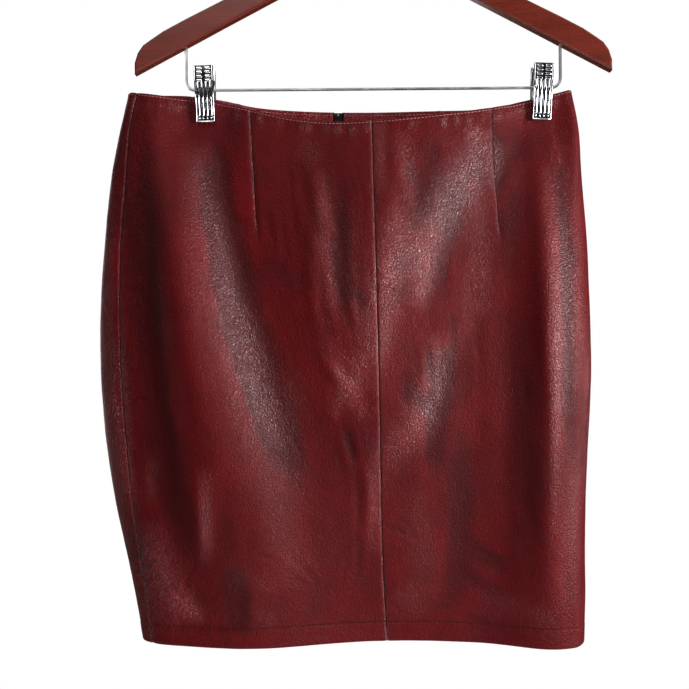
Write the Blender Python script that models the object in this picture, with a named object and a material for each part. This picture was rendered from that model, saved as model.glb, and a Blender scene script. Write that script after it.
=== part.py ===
"""Leather pencil skirt with a centre back zip, clipped to a wooden skirt hanger.

Run with: blender --background --python part.py
Metres, +Z up, the front of the skirt looks along -Y, +X to its right as seen from the front.
The origin is the top of the hook's inner curve, where a rail carries the hanger.
The skirt's skin is a stack of closed level rings. Short tables give each ring its outline,
its seam places and its folds, and every panel is a stretch of those rings.
"""

import math

import bmesh
import bpy
import numpy as np
from mathutils import Matrix, Vector

MM = 0.001

# ---------------------------------------------------------------- driving dimensions (mm)

LEATHER = 1.2              # wall of one layer of garment leather
HEM_WALL = 2.4             # wall where the hem is turned up
HEM_TURN = 20.0            # depth of the turned-up hem
HEM_BELOW_HOOK = 737.0     # level of the hem
SEAM_GAP = 0.3             # space between two sewn edges
SEAM_DIP = 0.8             # how far a seam or dart sinks into the skin
SEAM_SHOULDER = 2.5        # distance over which the skin dips to a seam
FACING_WALL = 1.0
DART_FADE_SHARE = 1.0 / 3.0    # lowest share of a dart over which its dip runs out
TAPE_WALL = 0.6
TAPE_WIDTH = 9.0
ZIP_LENGTH = 178.0
ZIP_END_STOP = 4.0         # the chain and tapes end this far above the end of the opening
ZIP_OPENING = 3.8          # from the centre back line to each leather edge
ZIP_END_TAPER = 5.0        # length over which the leather edges close below the zip
CHAIN_WIDTH = 6.2
CHAIN_DEPTH = 1.5
CHAIN_FACE = 0.6           # the chain's outer face lies this far inside the skin
SLIDER_DROP = 3.0          # from the waist's edge down to the slider
SLIDER_LENGTH = 10.0
SLIDER_WIDTH = 6.2
SLIDER_PLATE = 0.9
NOSE_LENGTH = 2.5          # solid upper end of the slider, above the chain
EYE_HALF = 0.9             # half the height of the eye under the slider's bridge
BRIDGE_HALF_LENGTH = 2.8
BRIDGE_STRIP = 0.8
BRIDGE_WIDTH = 1.6
BRIDGE_SIDE_GAP = 0.4
PIN_RADIUS = 0.55
PULL_WIDTH = 4.2
PULL_THICKNESS = 1.1
PULL_CORNER = 0.5
PULL_WINDOW_LENGTH = 4.6
PULL_LENGTH = 24.0
GRIP_FRONT = 1.6           # front skin's distance from the clip's middle plane
GRIP_BACK = 2.8            # back skin's distance, with the facing inside it
GRIP_HALF_WIDTH = 13.0     # half of the width that a clip holds flat
GRIP_SPREAD = 21.0         # how fast the cloth opens beside a clip
GRIP_WIDENING = 0.08       # growth of that spread for each millimetre below the jaws
GRIP_BOTTOM = 260.0        # below the hook, where the cloth leaves the jaws
GRIP_FADE = 190.0          # length over which the cloth opens below a clip
GRIP_INSET = 1.0           # the lean brings each clip's jaws this far towards the middle

CLIP_REACH = 157.0         # from the hanger's middle to each clip
CLIP_LEAN = math.radians(2.2)
HANGER_LEAN = math.radians(-0.45)
HOOK_INNER_RADIUS = 20.0
HOOK_WIRE_RADIUS = 1.75
HOOK_SHANK_TOP = 60.0          # below the hook, where the shank starts to sweep aside
HOOK_SWEEP = 16.0
HOOK_SWEEP_STEPS = 7
HOOK_JOIN_TURN = math.radians(-52.0)
HOOK_END_TURN = math.radians(205.0)
HOOK_BEND_STEPS = 22
BAR_RADIUS = 1.4
BAR_BELOW_HOOK = 223.3
BAR_HALF_SPAN = 174.7
BAR_BEND = 9.0
WOOD_THICKNESS = 12.0
WOOD_BEVEL = 1.8
SOCKET_CLEARANCE = 0.3
HOOK_SOCKET = (76.0, 94.0)     # below the hook, from above the wood down into it
BAR_SOCKET = (170.0, 200.0)    # from inside the wood down past its underside
PLATE_WIDTH = 17.5
PLATE_WALL = 0.9
SPRING_WIDTH = 9.0
SPRING_WALL = 0.8
SPRING_CLEARANCE = 0.5
SPRING_LEG_HEIGHTS = (-14.0, -8.0)   # from the bar, where each leg presses its plate

# One row for each level ring, from the waist to the hem (mm).
SECTION_COLUMNS = ("below_hook", "left", "right", "front_middle", "back_middle", "left_seam",
                   "end_depth", "left_round", "right_round")
SECTION_ROWS = (
    (224.0, -225.5, 186.2, -0.4, -31.0, -215.5, 5.5, 6.0, 5.5),
    (261.0, -234.0, 192.9, -0.2, -31.6, -223.4, 8.0, 14.0, 8.0),
    (299.0, -241.4, 195.7, 0.5, -32.4, -226.2, 11.0, 22.0, 12.0),
    (355.0, -248.0, 199.4, 2.0, -33.2, -230.3, 15.0, 32.0, 16.0),
    (420.0, -252.2, 202.2, 4.0, -33.6, -231.3, 18.0, 38.0, 18.0),
    (486.0, -252.2, 203.6, 5.6, -33.0, -229.7, 19.0, 41.0, 19.0),
    (560.0, -246.1, 200.6, 7.5, -30.6, -224.2, 18.0, 40.0, 18.0),
    (635.0, -233.0, 198.3, 9.2, -26.6, -216.3, 16.5, 38.0, 17.0),
    (691.0, -220.9, 198.6, 11.7, -23.0, -207.8, 15.0, 36.0, 16.0),
    (739.0, -212.3, 197.5, 14.7, -20.0, -201.3, 14.0, 34.0, 15.0),
)

# One row for each large fold: a soft upright ridge, given at five levels below the hook (mm).
FOLD_STATIONS = (224.0, 310.0, 420.0, 560.0, 739.0)
FOLD_COLUMNS = ("face", "across", "proud", "width")
FOLD_ROWS = (
    ("front", (36.0, 10.0, -8.0, 4.0, 26.0), (16.0, 22.0, 24.0, 11.0, -8.0),
     (88.0, 84.0, 84.0, 84.0, 80.0)),
    ("front", (-196.0, -186.0, -170.0, -143.0, -112.0), (6.0, 17.0, 22.0, 24.0, 16.0),
     (24.0, 28.0, 42.0, 58.0, 70.0)),
    ("front", (160.0, 162.0, 164.0, 165.0, 162.0), (2.0, 15.0, 20.0, 20.0, 18.0),
     (30.0, 32.0, 34.0, 36.0, 40.0)),
    ("back", (-20.0, -21.0, -22.0, -23.0, -26.0), (14.0, 18.0, 24.0, 24.0, 15.0),
     (110.0, 106.0, 104.0, 102.0, 100.0)),
    ("back", (-157.0, -152.0, -144.0, -135.0, -122.0), (0.0, 11.0, 20.0, 22.0, 17.0),
     (42.0, 50.0, 57.0, 61.0, 64.0)),
    ("back", (157.0, 154.0, 151.0, 147.0, 142.0), (0.0, 12.0, 21.0, 23.0, 20.0),
     (38.0, 44.0, 49.0, 51.0, 52.0)),
)

# The waist's upper edge, from the left fold to the right fold (mm).
WAIST_COLUMNS = ("across", "front_below_hook", "back_below_hook")
WAIST_ROWS = (
    (-226.0, 228.2, 228.2),
    (-198.0, 231.6, 228.0),
    (-157.0, 233.6, 231.4),
    (-112.0, 243.8, 237.2),
    (-66.0, 254.6, 239.7),
    (-20.0, 258.5, 240.2),
    (26.0, 256.2, 240.3),
    (72.0, 250.2, 240.4),
    (112.0, 243.2, 239.4),
    (157.0, 231.6, 231.4),
    (187.0, 224.8, 224.8),
)

# One row for each dart (mm): its distance from the centre line at the top and at its point.
DART_COLUMNS = ("panel", "top_reach", "point_reach", "length")
DART_ROWS = (
    ("front_left", 114.0, 110.0, 112.0),
    ("front_right", 111.5, 116.0, 116.0),
    ("back_left", 96.0, 94.0, 125.0),
    ("back_right", 96.0, 94.0, 125.0),
)

# The hanger's wooden body, one row for each station from its middle to a tip (mm).
WOOD_COLUMNS = ("across", "top_below_hook", "underside_below_hook")
WOOD_ROWS = (
    (0.0, 80.0, 104.0),
    (14.0, 82.0, 105.6),
    (40.0, 93.0, 114.5),
    (90.0, 116.6, 138.8),
    (139.0, 140.6, 164.6),
    (175.0, 158.6, 183.8),
    (200.0, 172.4, 197.1),
    (213.0, 181.6, 204.0),
    (219.0, 189.5, 207.2),
    (222.0, 199.0, 208.8),
)

WOOD_TOP_STATIONS = (0.0, 14.0, 27.0, 45.0, 90.0, 139.0, 175.0, 195.0, 207.0, 214.0, 219.0,
                     222.0)
WOOD_UNDER_STATIONS = (0.0, 14.0, 45.0, 90.0, 139.0, 175.0, 207.0, 219.0, 222.0)

# One row for each level of a clip plate (mm): its height from the bar, how far its face
# stands off the middle plane, and how near its side flanges come to that plane.
PLATE_COLUMNS = ("height", "face", "flange")
PLATE_ROWS = (
    (20.5, 9.6, 5.2),
    (15.0, 9.8, 4.0),
    (0.0, 8.6, 2.6),
    (-16.0, 7.2, 0.0),
    (-31.2, 6.2, 0.0),
)

# Upper rows of a panel as shares of its length; the last rows belong to the turned-up hem.
PANEL_SHARES = (0.0, 0.022, 0.055, 0.09, 0.132, 0.175, 0.22, 0.27, 0.32, 0.368, 0.378, 0.43,
                0.49, 0.55, 0.61, 0.67, 0.73, 0.79, 0.85, 0.91, 0.96, 1.0)
FACING_SHARES = PANEL_SHARES[:4]
FACING_TOP_DROP = 0.4      # the facing starts this far under the waist's edge
FACING_STEP_START = 30.0   # from the centre back, where the facing steps off the zip tape
FACING_STEP_LENGTH = 15.0
FACING_EDGE_STEP = 1.0     # the facing's centre edge stands back from the panel's
CLIP_COLUMN = 11.0         # a column of the panel's mesh on each side of a clip's middle
RING_SAMPLES = 500
WAIST_RING_LEVEL = 240.0   # the ring that the waist's distances are measured on

COLOURS = {
    "leather": ((0.105, 0.009, 0.014, 1.0), 0.38, 0.0),
    "tape": ((0.012, 0.011, 0.012, 1.0), 0.85, 0.0),
    "zip_metal": ((0.55, 0.54, 0.52, 1.0), 0.3, 1.0),
    "chrome": ((0.72, 0.72, 0.73, 1.0), 0.12, 1.0),
    "wood": ((0.13, 0.022, 0.01, 1.0), 0.32, 0.0),
}


# ---------------------------------------------------------------- curves through table rows

def natural_spline(stations, values):
    """Return a smooth function of position through the given stations and values."""
    knots = np.asarray(stations, dtype=float)
    heights = np.asarray(values, dtype=float)
    steps = np.diff(knots)
    count = len(knots)
    system = np.eye(count)
    right_side = np.zeros(count)
    for i in range(1, count - 1):
        system[i, i - 1] = steps[i - 1]
        system[i, i] = 2.0 * (steps[i - 1] + steps[i])
        system[i, i + 1] = steps[i]
        rise = (heights[i + 1] - heights[i]) / steps[i]
        rise_before = (heights[i] - heights[i - 1]) / steps[i - 1]
        right_side[i] = 6.0 * (rise - rise_before)
    bends = np.linalg.solve(system, right_side)

    def value_at(position):
        place = np.clip(np.asarray(position, dtype=float), knots[0], knots[-1])
        span = np.clip(np.searchsorted(knots, place, side="right") - 1, 0, count - 2)
        length = steps[span]
        ahead = (place - knots[span]) / length
        behind = 1.0 - ahead
        straight = behind * heights[span] + ahead * heights[span + 1]
        bulge = (behind ** 3 - behind) * bends[span] + (ahead ** 3 - ahead) * bends[span + 1]
        return straight + bulge * length ** 2 / 6.0

    return value_at


def column_curves(names, rows):
    """Return one smooth function for each column after the first, by name."""
    columns = list(zip(*rows))
    return {name: natural_spline(columns[0], column)
            for name, column in zip(names[1:], columns[1:])}


SECTION = column_curves(SECTION_COLUMNS, SECTION_ROWS)
WAIST = column_curves(WAIST_COLUMNS, WAIST_ROWS)
WOOD = column_curves(WOOD_COLUMNS, WOOD_ROWS)
PLATE_LEVELS = [dict(zip(PLATE_COLUMNS, row)) for row in PLATE_ROWS]
DARTS = {row[0]: dict(zip(DART_COLUMNS[1:], row[1:])) for row in DART_ROWS}
FOLDS = tuple((row[0], {name: natural_spline(FOLD_STATIONS, values)
                        for name, values in zip(FOLD_COLUMNS[1:], row[1:])})
              for row in FOLD_ROWS)


def smooth_step(share):
    """Ease from 0 to 1 as share goes from 0 to 1."""
    held = np.clip(share, 0.0, 1.0)
    return held * held * (3.0 - 2.0 * held)


# ---------------------------------------------------------------- the skin's level rings

def skin_depth(across, below_hook, face):
    """Distance of the front or back skin from the middle plane, at places across one ring."""
    left = SECTION["left"](below_hook)
    right = SECTION["right"](below_hook)
    left_share = np.clip((across - left) / SECTION["left_round"](below_hook), 0.0, 1.0)
    right_share = np.clip((right - across) / SECTION["right_round"](below_hook), 0.0, 1.0)
    rounded_ends = np.sqrt(1.0 - (1.0 - left_share) ** 2) * np.sqrt(1.0 - (1.0 - right_share) ** 2)
    body = SECTION["end_depth"](below_hook) + np.zeros_like(across)
    for fold_face, fold in FOLDS:
        if fold_face == face:
            offset = (across - fold["across"](below_hook)) / fold["width"](below_hook)
            body = body + fold["proud"](below_hook) * np.exp(-offset ** 2)
    from_jaws = np.abs(np.abs(across) - (CLIP_REACH - GRIP_INSET))
    beside = np.maximum(from_jaws - GRIP_HALF_WIDTH, 0.0)
    below_jaws = max(below_hook - GRIP_BOTTOM, 0.0)
    spread = GRIP_SPREAD + GRIP_WIDENING * below_jaws
    fade = max(1.0 - below_jaws / GRIP_FADE, 0.0) ** 2
    grip = np.exp(-(beside / spread) ** 2) * fade
    gripped = GRIP_FRONT if face == "front" else GRIP_BACK
    return rounded_ends * (body * (1.0 - grip) + gripped * grip)


class Ring:
    """One level ring of the skin, walked from the centre front towards +X and round."""

    def __init__(self, below_hook):
        left = float(SECTION["left"](below_hook))
        right = float(SECTION["right"](below_hook))
        middle = (left + right) / 2.0
        half = (right - left) / 2.0
        front_middle = float(SECTION["front_middle"](below_hook))
        turns = np.linspace(0.0, math.pi, RING_SAMPLES)
        rightwards = np.sort(np.append(middle - half * np.cos(turns), front_middle))
        leftwards = rightwards[::-1]
        across = np.concatenate([rightwards, leftwards[1:-1]])
        depth = np.concatenate([-skin_depth(rightwards, below_hook, "front"),
                                skin_depth(leftwards[1:-1], below_hook, "back")])
        start = int(np.argmin(np.abs(rightwards - front_middle)))
        across = np.roll(across, -start)
        depth = np.roll(depth, -start)
        self.across = np.append(across, across[0])
        self.depth = np.append(depth, depth[0])
        walked = np.hypot(np.diff(self.across), np.diff(self.depth))
        self.walk = np.concatenate([[0.0], np.cumsum(walked)])
        self.girth = float(self.walk[-1])
        self.right_fold = float(self.walk[len(rightwards) - 1 - start])
        self.left_fold = float(self.walk[len(self.walk) - 1 - start])
        front_left = self.walk > self.left_fold
        seam_walk = np.interp(SECTION["left_seam"](below_hook), self.across[front_left],
                              self.walk[front_left])
        self.front_half = self.girth - float(seam_walk)
        back = slice(len(rightwards) - 1 - start, len(self.walk) - 1 - start)
        back_middle = float(SECTION["back_middle"](below_hook))
        self.back_walk = float(np.interp(-back_middle, -self.across[back], self.walk[back]))

    def place(self, walk, inward=0.0):
        """Return the point at a walked distance, moved inward by a distance (mm)."""
        step = 0.4
        here = np.mod(walk, self.girth)
        point = np.array([np.interp(here, self.walk, self.across),
                          np.interp(here, self.walk, self.depth)])
        before = np.mod(walk - step, self.girth)
        after = np.mod(walk + step, self.girth)
        along = np.array([
            np.interp(after, self.walk, self.across) - np.interp(before, self.walk, self.across),
            np.interp(after, self.walk, self.depth) - np.interp(before, self.walk, self.depth)])
        along /= np.linalg.norm(along)
        return point - inward * np.array([along[1], -along[0]])


RINGS = {}


def ring_at(below_hook):
    """Return the ring at a level, working each level out once."""
    key = round(float(below_hook), 3)
    if key not in RINGS:
        RINGS[key] = Ring(key)
    return RINGS[key]


WAIST_RING = ring_at(WAIST_RING_LEVEL)


# ---------------------------------------------------------------- panels as stretches of the rings

class Panel:
    """A quarter of the skirt, measured from its centre line outwards to its side seam."""

    def __init__(self, name, is_front, direction):
        self.name = name
        self.is_front = is_front
        self.direction = direction
        self.dart = DARTS[name]
        self.clip_reach = self.reach_of_clip()

    def start(self, ring):
        """Walked distance of the panel's centre line on a ring."""
        return 0.0 if self.is_front else ring.back_walk

    def seam_reach(self, ring):
        """Distance from the centre line to the side seam."""
        if self.is_front:
            return ring.front_half
        if self.direction < 0:
            return ring.back_walk - ring.front_half
        return ring.girth - ring.front_half - ring.back_walk

    def fold_reach(self, ring):
        """Distance from the centre line to the side fold on the panel's own side."""
        fold = ring.right_fold if self.name.endswith("right") else ring.left_fold
        if self.is_front:
            return fold if self.direction > 0 else ring.girth - fold
        return abs(fold - ring.back_walk)

    def reach_of_clip(self):
        """Distance from the centre line to the clip's middle, on the ring at the waist."""
        side = 1.0 if self.name.endswith("right") else -1.0
        reaches = np.linspace(0.0, self.fold_reach(WAIST_RING), 400)
        across = [WAIST_RING.place(self.start(WAIST_RING) + self.direction * reach)[0]
                  for reach in reaches]
        from_jaws = np.abs(np.array(across) - side * (CLIP_REACH - GRIP_INSET))
        return float(reaches[int(np.argmin(from_jaws))])

    def dart_reach(self, below_hook):
        """Distance from the centre line to the dart's line, which runs on to the hem."""
        share = min(max((below_hook - WAIST_RING_LEVEL) / self.dart["length"], 0.0), 1.0)
        top_reach = self.dart["top_reach"]
        return top_reach + (self.dart["point_reach"] - top_reach) * share

    def centre_edge(self, below_hook):
        """Distance from the centre line to the panel's own edge."""
        if self.is_front:
            return SEAM_GAP / 2.0
        opening = smooth_step((ZIP_END_LEVEL - below_hook) / ZIP_END_TAPER + 0.5)
        return SEAM_GAP / 2.0 + (ZIP_OPENING - SEAM_GAP / 2.0) * float(opening)

    def reach(self, stop, ring, below_hook):
        """Turn one stop, a landmark and an offset, into a distance from the centre line."""
        landmark, offset = stop
        if landmark == "centre":
            return self.centre_edge(below_hook) + offset
        if landmark == "dart":
            return self.dart_reach(below_hook) + offset
        if landmark == "clip":
            return self.clip_reach + offset
        if landmark == "fold":
            return self.fold_reach(ring) + offset
        return self.seam_reach(ring) - SEAM_GAP / 2.0 + offset

    def reaches(self, stops, below_hook):
        """Distances of all the columns; a whole number in the stops adds that many between."""
        ring = ring_at(below_hook)
        found = []
        parts = 1
        for stop in stops:
            if isinstance(stop, int):
                parts = stop + 1
                continue
            reach = float(self.reach(stop, ring, below_hook))
            last = found[-1] if found else reach
            for k in range(1, parts):
                found.append(last + (reach - last) * k / parts)
            parts = 1
            found.append(reach)
        return found

    def seam_dip(self, reach, below_hook):
        """Depth to which the skin sinks at a distance, at its seams and along its dart."""
        ring = ring_at(below_hook)
        to_edge = min(reach, self.seam_reach(ring) - reach)
        dip = 1.0 - float(smooth_step(to_edge / SEAM_SHOULDER))
        to_dart = abs(reach - self.dart_reach(below_hook))
        to_point = 1.0 - (below_hook - self.waist_level(reach)) / self.dart["length"]
        dart_depth = min(max(to_point / DART_FADE_SHARE, 0.0), 1.0)
        dart_dip = (1.0 - float(smooth_step(to_dart / SEAM_SHOULDER))) * dart_depth
        return SEAM_DIP * max(dip, dart_dip)

    def waist_level(self, reach):
        """Level of the waist's upper edge at a distance from the centre line."""
        point = WAIST_RING.place(self.start(WAIST_RING) + self.direction * reach)
        column = "front_below_hook" if point[1] < 0.0 else "back_below_hook"
        return float(WAIST[column](point[0]))

    def point(self, reach, below_hook, inward=0.0):
        """Return a point of the skin in metres, sunk at seams and moved inward (mm)."""
        ring = ring_at(below_hook)
        walk = self.start(ring) + self.direction * reach
        across, depth = ring.place(walk, inward + self.seam_dip(reach, below_hook))
        return Vector((across, depth, -below_hook)) * MM


ZIP_TOP_LEVEL = float(WAIST["back_below_hook"](SECTION["back_middle"](WAIST_RING_LEVEL)))
ZIP_END_LEVEL = ZIP_TOP_LEVEL + ZIP_LENGTH
SLIDER_TOP = ZIP_TOP_LEVEL + SLIDER_DROP

PANELS = {
    "front_left": Panel("front_left", True, -1),
    "front_right": Panel("front_right", True, 1),
    "back_left": Panel("back_left", False, 1),
    "back_right": Panel("back_right", False, -1),
}

CENTRE_STOPS = (("centre", 0.0), ("centre", SEAM_SHOULDER), 3)
DART_STOPS = (("dart", -SEAM_SHOULDER), ("dart", 0.0), ("dart", SEAM_SHOULDER), 1)
CLIP_STOPS = (("clip", -CLIP_COLUMN), ("clip", CLIP_COLUMN), 1)
SEAM_STOPS = (("seam", -SEAM_SHOULDER), ("seam", 0.0))
FOLD_STOPS = (("fold", -9.0), ("fold", -3.0), ("fold", 0.0), ("fold", 3.0))

COLUMN_STOPS = {
    "front_left": CENTRE_STOPS + DART_STOPS + CLIP_STOPS + (2,) + SEAM_STOPS,
    "front_right": CENTRE_STOPS + DART_STOPS + CLIP_STOPS + FOLD_STOPS + (2,)
    + SEAM_STOPS,
    "back_left": CENTRE_STOPS + DART_STOPS + CLIP_STOPS + FOLD_STOPS + (1,) + SEAM_STOPS,
    "back_right": CENTRE_STOPS + DART_STOPS + CLIP_STOPS[:1] + SEAM_STOPS,
}

# The facings stop short of the side fold and of the side seam.
FACING_LAST_COLUMN = {"back_left": 12, "back_right": 11}


# ---------------------------------------------------------------- scene helpers

def clear_scene():
    """Remove every object that the file starts with."""
    for thing in list(bpy.data.objects):
        bpy.data.objects.remove(thing, do_unlink=True)


def material(slot):
    """Return the named Principled material, made once."""
    if slot in bpy.data.materials:
        return bpy.data.materials[slot]
    colour, roughness, metallic = COLOURS[slot]
    made = bpy.data.materials.new(slot)
    made.use_nodes = True
    shader = made.node_tree.nodes["Principled BSDF"]
    shader.inputs["Base Color"].default_value = colour
    shader.inputs["Roughness"].default_value = roughness
    shader.inputs["Metallic"].default_value = metallic
    made.diffuse_color = colour
    return made


def own_material(node, slot):
    """Return a material of the slot's values for one object alone."""
    made = material(slot).copy()
    made.name = node
    return made


def add_object(node, mesh_builder, slot, smooth_angle=0.7):
    """Turn a filled bmesh into a named object with its own material."""
    mesh = bpy.data.meshes.new(node)
    mesh_builder.to_mesh(mesh)
    mesh_builder.free()
    mesh.materials.append(own_material(node, slot))
    mesh.shade_smooth()
    mesh.set_sharp_from_angle(angle=smooth_angle)
    made = bpy.data.objects.new(node, mesh)
    bpy.context.scene.collection.objects.link(made)
    return made


def grid_sheet(points, turn_over):
    """Make an open sheet from rows of points, with its faces turned over where asked."""
    rows = len(points)
    columns = len(points[0])
    sheet = bmesh.new()
    bmesh.ops.create_grid(sheet, x_segments=columns - 1, y_segments=rows - 1, size=1.0)
    sheet.verts.ensure_lookup_table()
    for r in range(rows):
        for c in range(columns):
            sheet.verts[r * columns + c].co = points[r][c]
    if turn_over:
        bmesh.ops.reverse_faces(sheet, faces=sheet.faces[:])
    return sheet


def add_wall(thing, thickness, weights=None):
    """Give an open sheet its wall, inwards from its skin."""
    wall = thing.modifiers.new("wall", "SOLIDIFY")
    wall.thickness = thickness * MM
    wall.offset = -1.0
    wall.use_even_offset = True
    wall.use_quality_normals = True
    if weights is not None:
        group = thing.vertex_groups.new(name="wall")
        for index, weight in enumerate(weights):
            group.add([index], weight, "REPLACE")
        wall.vertex_group = "wall"


def helper_shape(name, mesh_builder, place):
    """Turn a filled bmesh into a hidden shape that cuts or joins another object."""
    mesh = bpy.data.meshes.new(name)
    mesh_builder.to_mesh(mesh)
    mesh_builder.free()
    shape = bpy.data.objects.new(name, mesh)
    bpy.context.scene.collection.objects.link(shape)
    shape.matrix_world = place
    shape.hide_render = True
    shape.display_type = "WIRE"
    return shape


def add_boolean(thing, operation, shape):
    """Cut a hidden shape out of an object, or join it on."""
    change = thing.modifiers.new(shape.name, "BOOLEAN")
    change.operation = operation
    change.solver = "EXACT"
    change.object = shape


# ---------------------------------------------------------------- the skirt

def panel_levels(panel, reach):
    """Levels of a panel's rows down one column, the last two bounding the turned-up hem."""
    top = panel.waist_level(reach)
    turn_top = HEM_BELOW_HOOK - HEM_TURN
    levels = [top + share * (turn_top - 1.0 - top) for share in PANEL_SHARES]
    return levels + [turn_top, HEM_BELOW_HOOK]


def panel_points(panel, stops):
    """Return a panel's skin as rows of points, from the waist to the hem."""
    waist_reaches = panel.reaches(stops, WAIST_RING_LEVEL)
    columns = []
    for c, waist_reach in enumerate(waist_reaches):
        levels = panel_levels(panel, waist_reach)
        columns.append([panel.point(panel.reaches(stops, level)[c], level) for level in levels])
    return [list(row) for row in zip(*columns)]


def build_panel(name):
    """Build one quarter of the skirt as a wall with a thicker turned-up hem."""
    panel = PANELS[name]
    points = panel_points(panel, COLUMN_STOPS[name])
    made = add_object(name + "_panel", grid_sheet(points, panel.direction > 0), "leather")
    columns = len(points[0])
    plain_rows = len(points) - 2
    weights = [LEATHER / HEM_WALL] * (plain_rows * columns) + [1.0] * (2 * columns)
    add_wall(made, HEM_WALL, weights)


def build_facing(name):
    """Build the leather facing inside one half of the back waist, from the panel's points."""
    panel = PANELS[name]
    stops = COLUMN_STOPS[name]
    last_column = FACING_LAST_COLUMN[name]
    turn_top = HEM_BELOW_HOOK - HEM_TURN - 1.0
    points = []
    for row, share in enumerate(FACING_SHARES):
        line = []
        for c, waist_reach in enumerate(panel.reaches(stops, WAIST_RING_LEVEL)[:last_column]):
            top = panel.waist_level(waist_reach)
            level = top + share * (turn_top - top) + (FACING_TOP_DROP if row == 0 else 0.0)
            reach = panel.reaches(stops, level)[c] + (FACING_EDGE_STEP if c == 0 else 0.0)
            past_tape = smooth_step((reach - FACING_STEP_START) / FACING_STEP_LENGTH)
            over_tape = (TAPE_WALL + SEAM_GAP) * (1.0 - float(past_tape))
            line.append(panel.point(reach, level, LEATHER + SEAM_GAP + over_tape))
        points.append(line)
    sheet = grid_sheet(points, panel.direction > 0)
    add_wall(add_object("back_facing" + name[4:], sheet, "leather"), FACING_WALL)


def zip_levels():
    """Levels of the zip's rows, down the centre back."""
    panel = PANELS["back_left"]
    top = panel.waist_level(ZIP_OPENING)
    turn_top = HEM_BELOW_HOOK - HEM_TURN - 1.0
    levels = [top + share * (turn_top - top) for share in PANEL_SHARES]
    bottom = ZIP_END_LEVEL - ZIP_END_STOP
    return [level for level in levels if level < bottom - 4.0] + [bottom]


def build_tape(name):
    """Build one zip tape, sewn inside the leather edge at the centre back."""
    panel = PANELS[name]
    inner_edge = CHAIN_WIDTH / 2.0 + SEAM_GAP
    reaches = (inner_edge, ZIP_OPENING, ZIP_OPENING + TAPE_WIDTH)
    levels = zip_levels()
    levels[0] += 0.6
    points = []
    for level in levels:
        ring = ring_at(level)
        row = []
        for reach in reaches:
            across, depth = ring.place(panel.start(ring) + panel.direction * reach,
                                       LEATHER + SEAM_GAP)
            row.append(Vector((across, depth, -level)) * MM)
        points.append(row)
    sheet = grid_sheet(points, panel.direction > 0)
    add_wall(add_object("zip_tape" + name[4:], sheet, "tape"), TAPE_WALL)


def zip_point(level, aside, inward):
    """Return a point near the centre back line, aside from it and inside the skin (mm)."""
    ring = ring_at(level)
    across, depth = ring.place(ring.back_walk - aside, inward)
    return Vector((across, depth, -level)) * MM


def build_chain():
    """Build the closed chain of teeth as one strip that starts inside the slider."""
    levels = [SLIDER_TOP + NOSE_LENGTH + SEAM_GAP] + [
        level for level in zip_levels() if level > SLIDER_TOP + SLIDER_LENGTH + 1.0]
    half = CHAIN_WIDTH / 2.0
    points = [[zip_point(level, aside, CHAIN_FACE) for aside in (-half, half)]
              for level in levels]
    add_wall(add_object("zip_chain", grid_sheet(points, False), "zip_metal"), CHAIN_DEPTH)


def slider_frame():
    """Return the slider's place: across, outward and up, with its middle on the chain."""
    upper = zip_point(SLIDER_TOP, 0.0, 0.0)
    lower = zip_point(SLIDER_TOP + SLIDER_LENGTH, 0.0, 0.0)
    up = (upper - lower)
    up.x = 0.0
    up.normalize()
    across = Vector((1.0, 0.0, 0.0))
    outward = up.cross(across)
    middle = (upper + lower) / 2.0
    frame = Matrix.Identity(4)
    for row in range(3):
        frame[row][0] = across[row]
        frame[row][1] = outward[row]
        frame[row][2] = up[row]
        frame[row][3] = middle[row]
    return frame


def extruded_profile(profile, width):
    """Extrude a closed outline in the Y-Z plane (mm) evenly to both sides along X."""
    solid = bmesh.new()
    corners = [solid.verts.new(Vector((-width / 2.0, y, z)) * MM) for y, z in profile]
    face = solid.faces.new(corners)
    swept = bmesh.ops.extrude_face_region(solid, geom=[face])
    moved = [item for item in swept["geom"] if isinstance(item, bmesh.types.BMVert)]
    bmesh.ops.translate(solid, verts=moved, vec=Vector((width * MM, 0.0, 0.0)))
    bmesh.ops.recalc_face_normals(solid, faces=solid.faces[:])
    return solid


def build_slider():
    """Build the slider: a body that wraps the chain, with a bridge that carries the pull."""
    half = SLIDER_LENGTH / 2.0
    outer_low = -CHAIN_FACE + SEAM_GAP
    outer_high = outer_low + SLIDER_PLATE
    inner_high = -CHAIN_FACE - CHAIN_DEPTH - SEAM_GAP
    inner_low = inner_high - SLIDER_PLATE
    nose = half - NOSE_LENGTH
    body = extruded_profile(((inner_low, -half), (inner_low, half), (outer_high, half),
                             (outer_high, -half), (outer_low, -half), (outer_low, nose),
                             (inner_high, nose), (inner_high, -half)), SLIDER_WIDTH)
    made = add_object("zip_slider", body, "zip_metal", 0.5)
    bridge_low = outer_high + 2.0 * EYE_HALF
    leg = BRIDGE_HALF_LENGTH
    strip = BRIDGE_STRIP
    bridge = extruded_profile(((outer_high - 0.3, leg), (bridge_low + strip, leg),
                               (bridge_low + strip, -leg), (outer_high - 0.3, -leg),
                               (outer_high - 0.3, -leg + strip), (bridge_low, -leg + strip),
                               (bridge_low, leg - strip), (outer_high - 0.3, leg - strip)),
                              BRIDGE_WIDTH)
    made.matrix_world = slider_frame()
    add_boolean(made, "UNION", helper_shape("bridge_shape", bridge, slider_frame()))


def pull_height():
    """Return how far the pull's axis stands off the middle of the slider (mm)."""
    return -CHAIN_FACE + SEAM_GAP + SLIDER_PLATE + EYE_HALF


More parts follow.
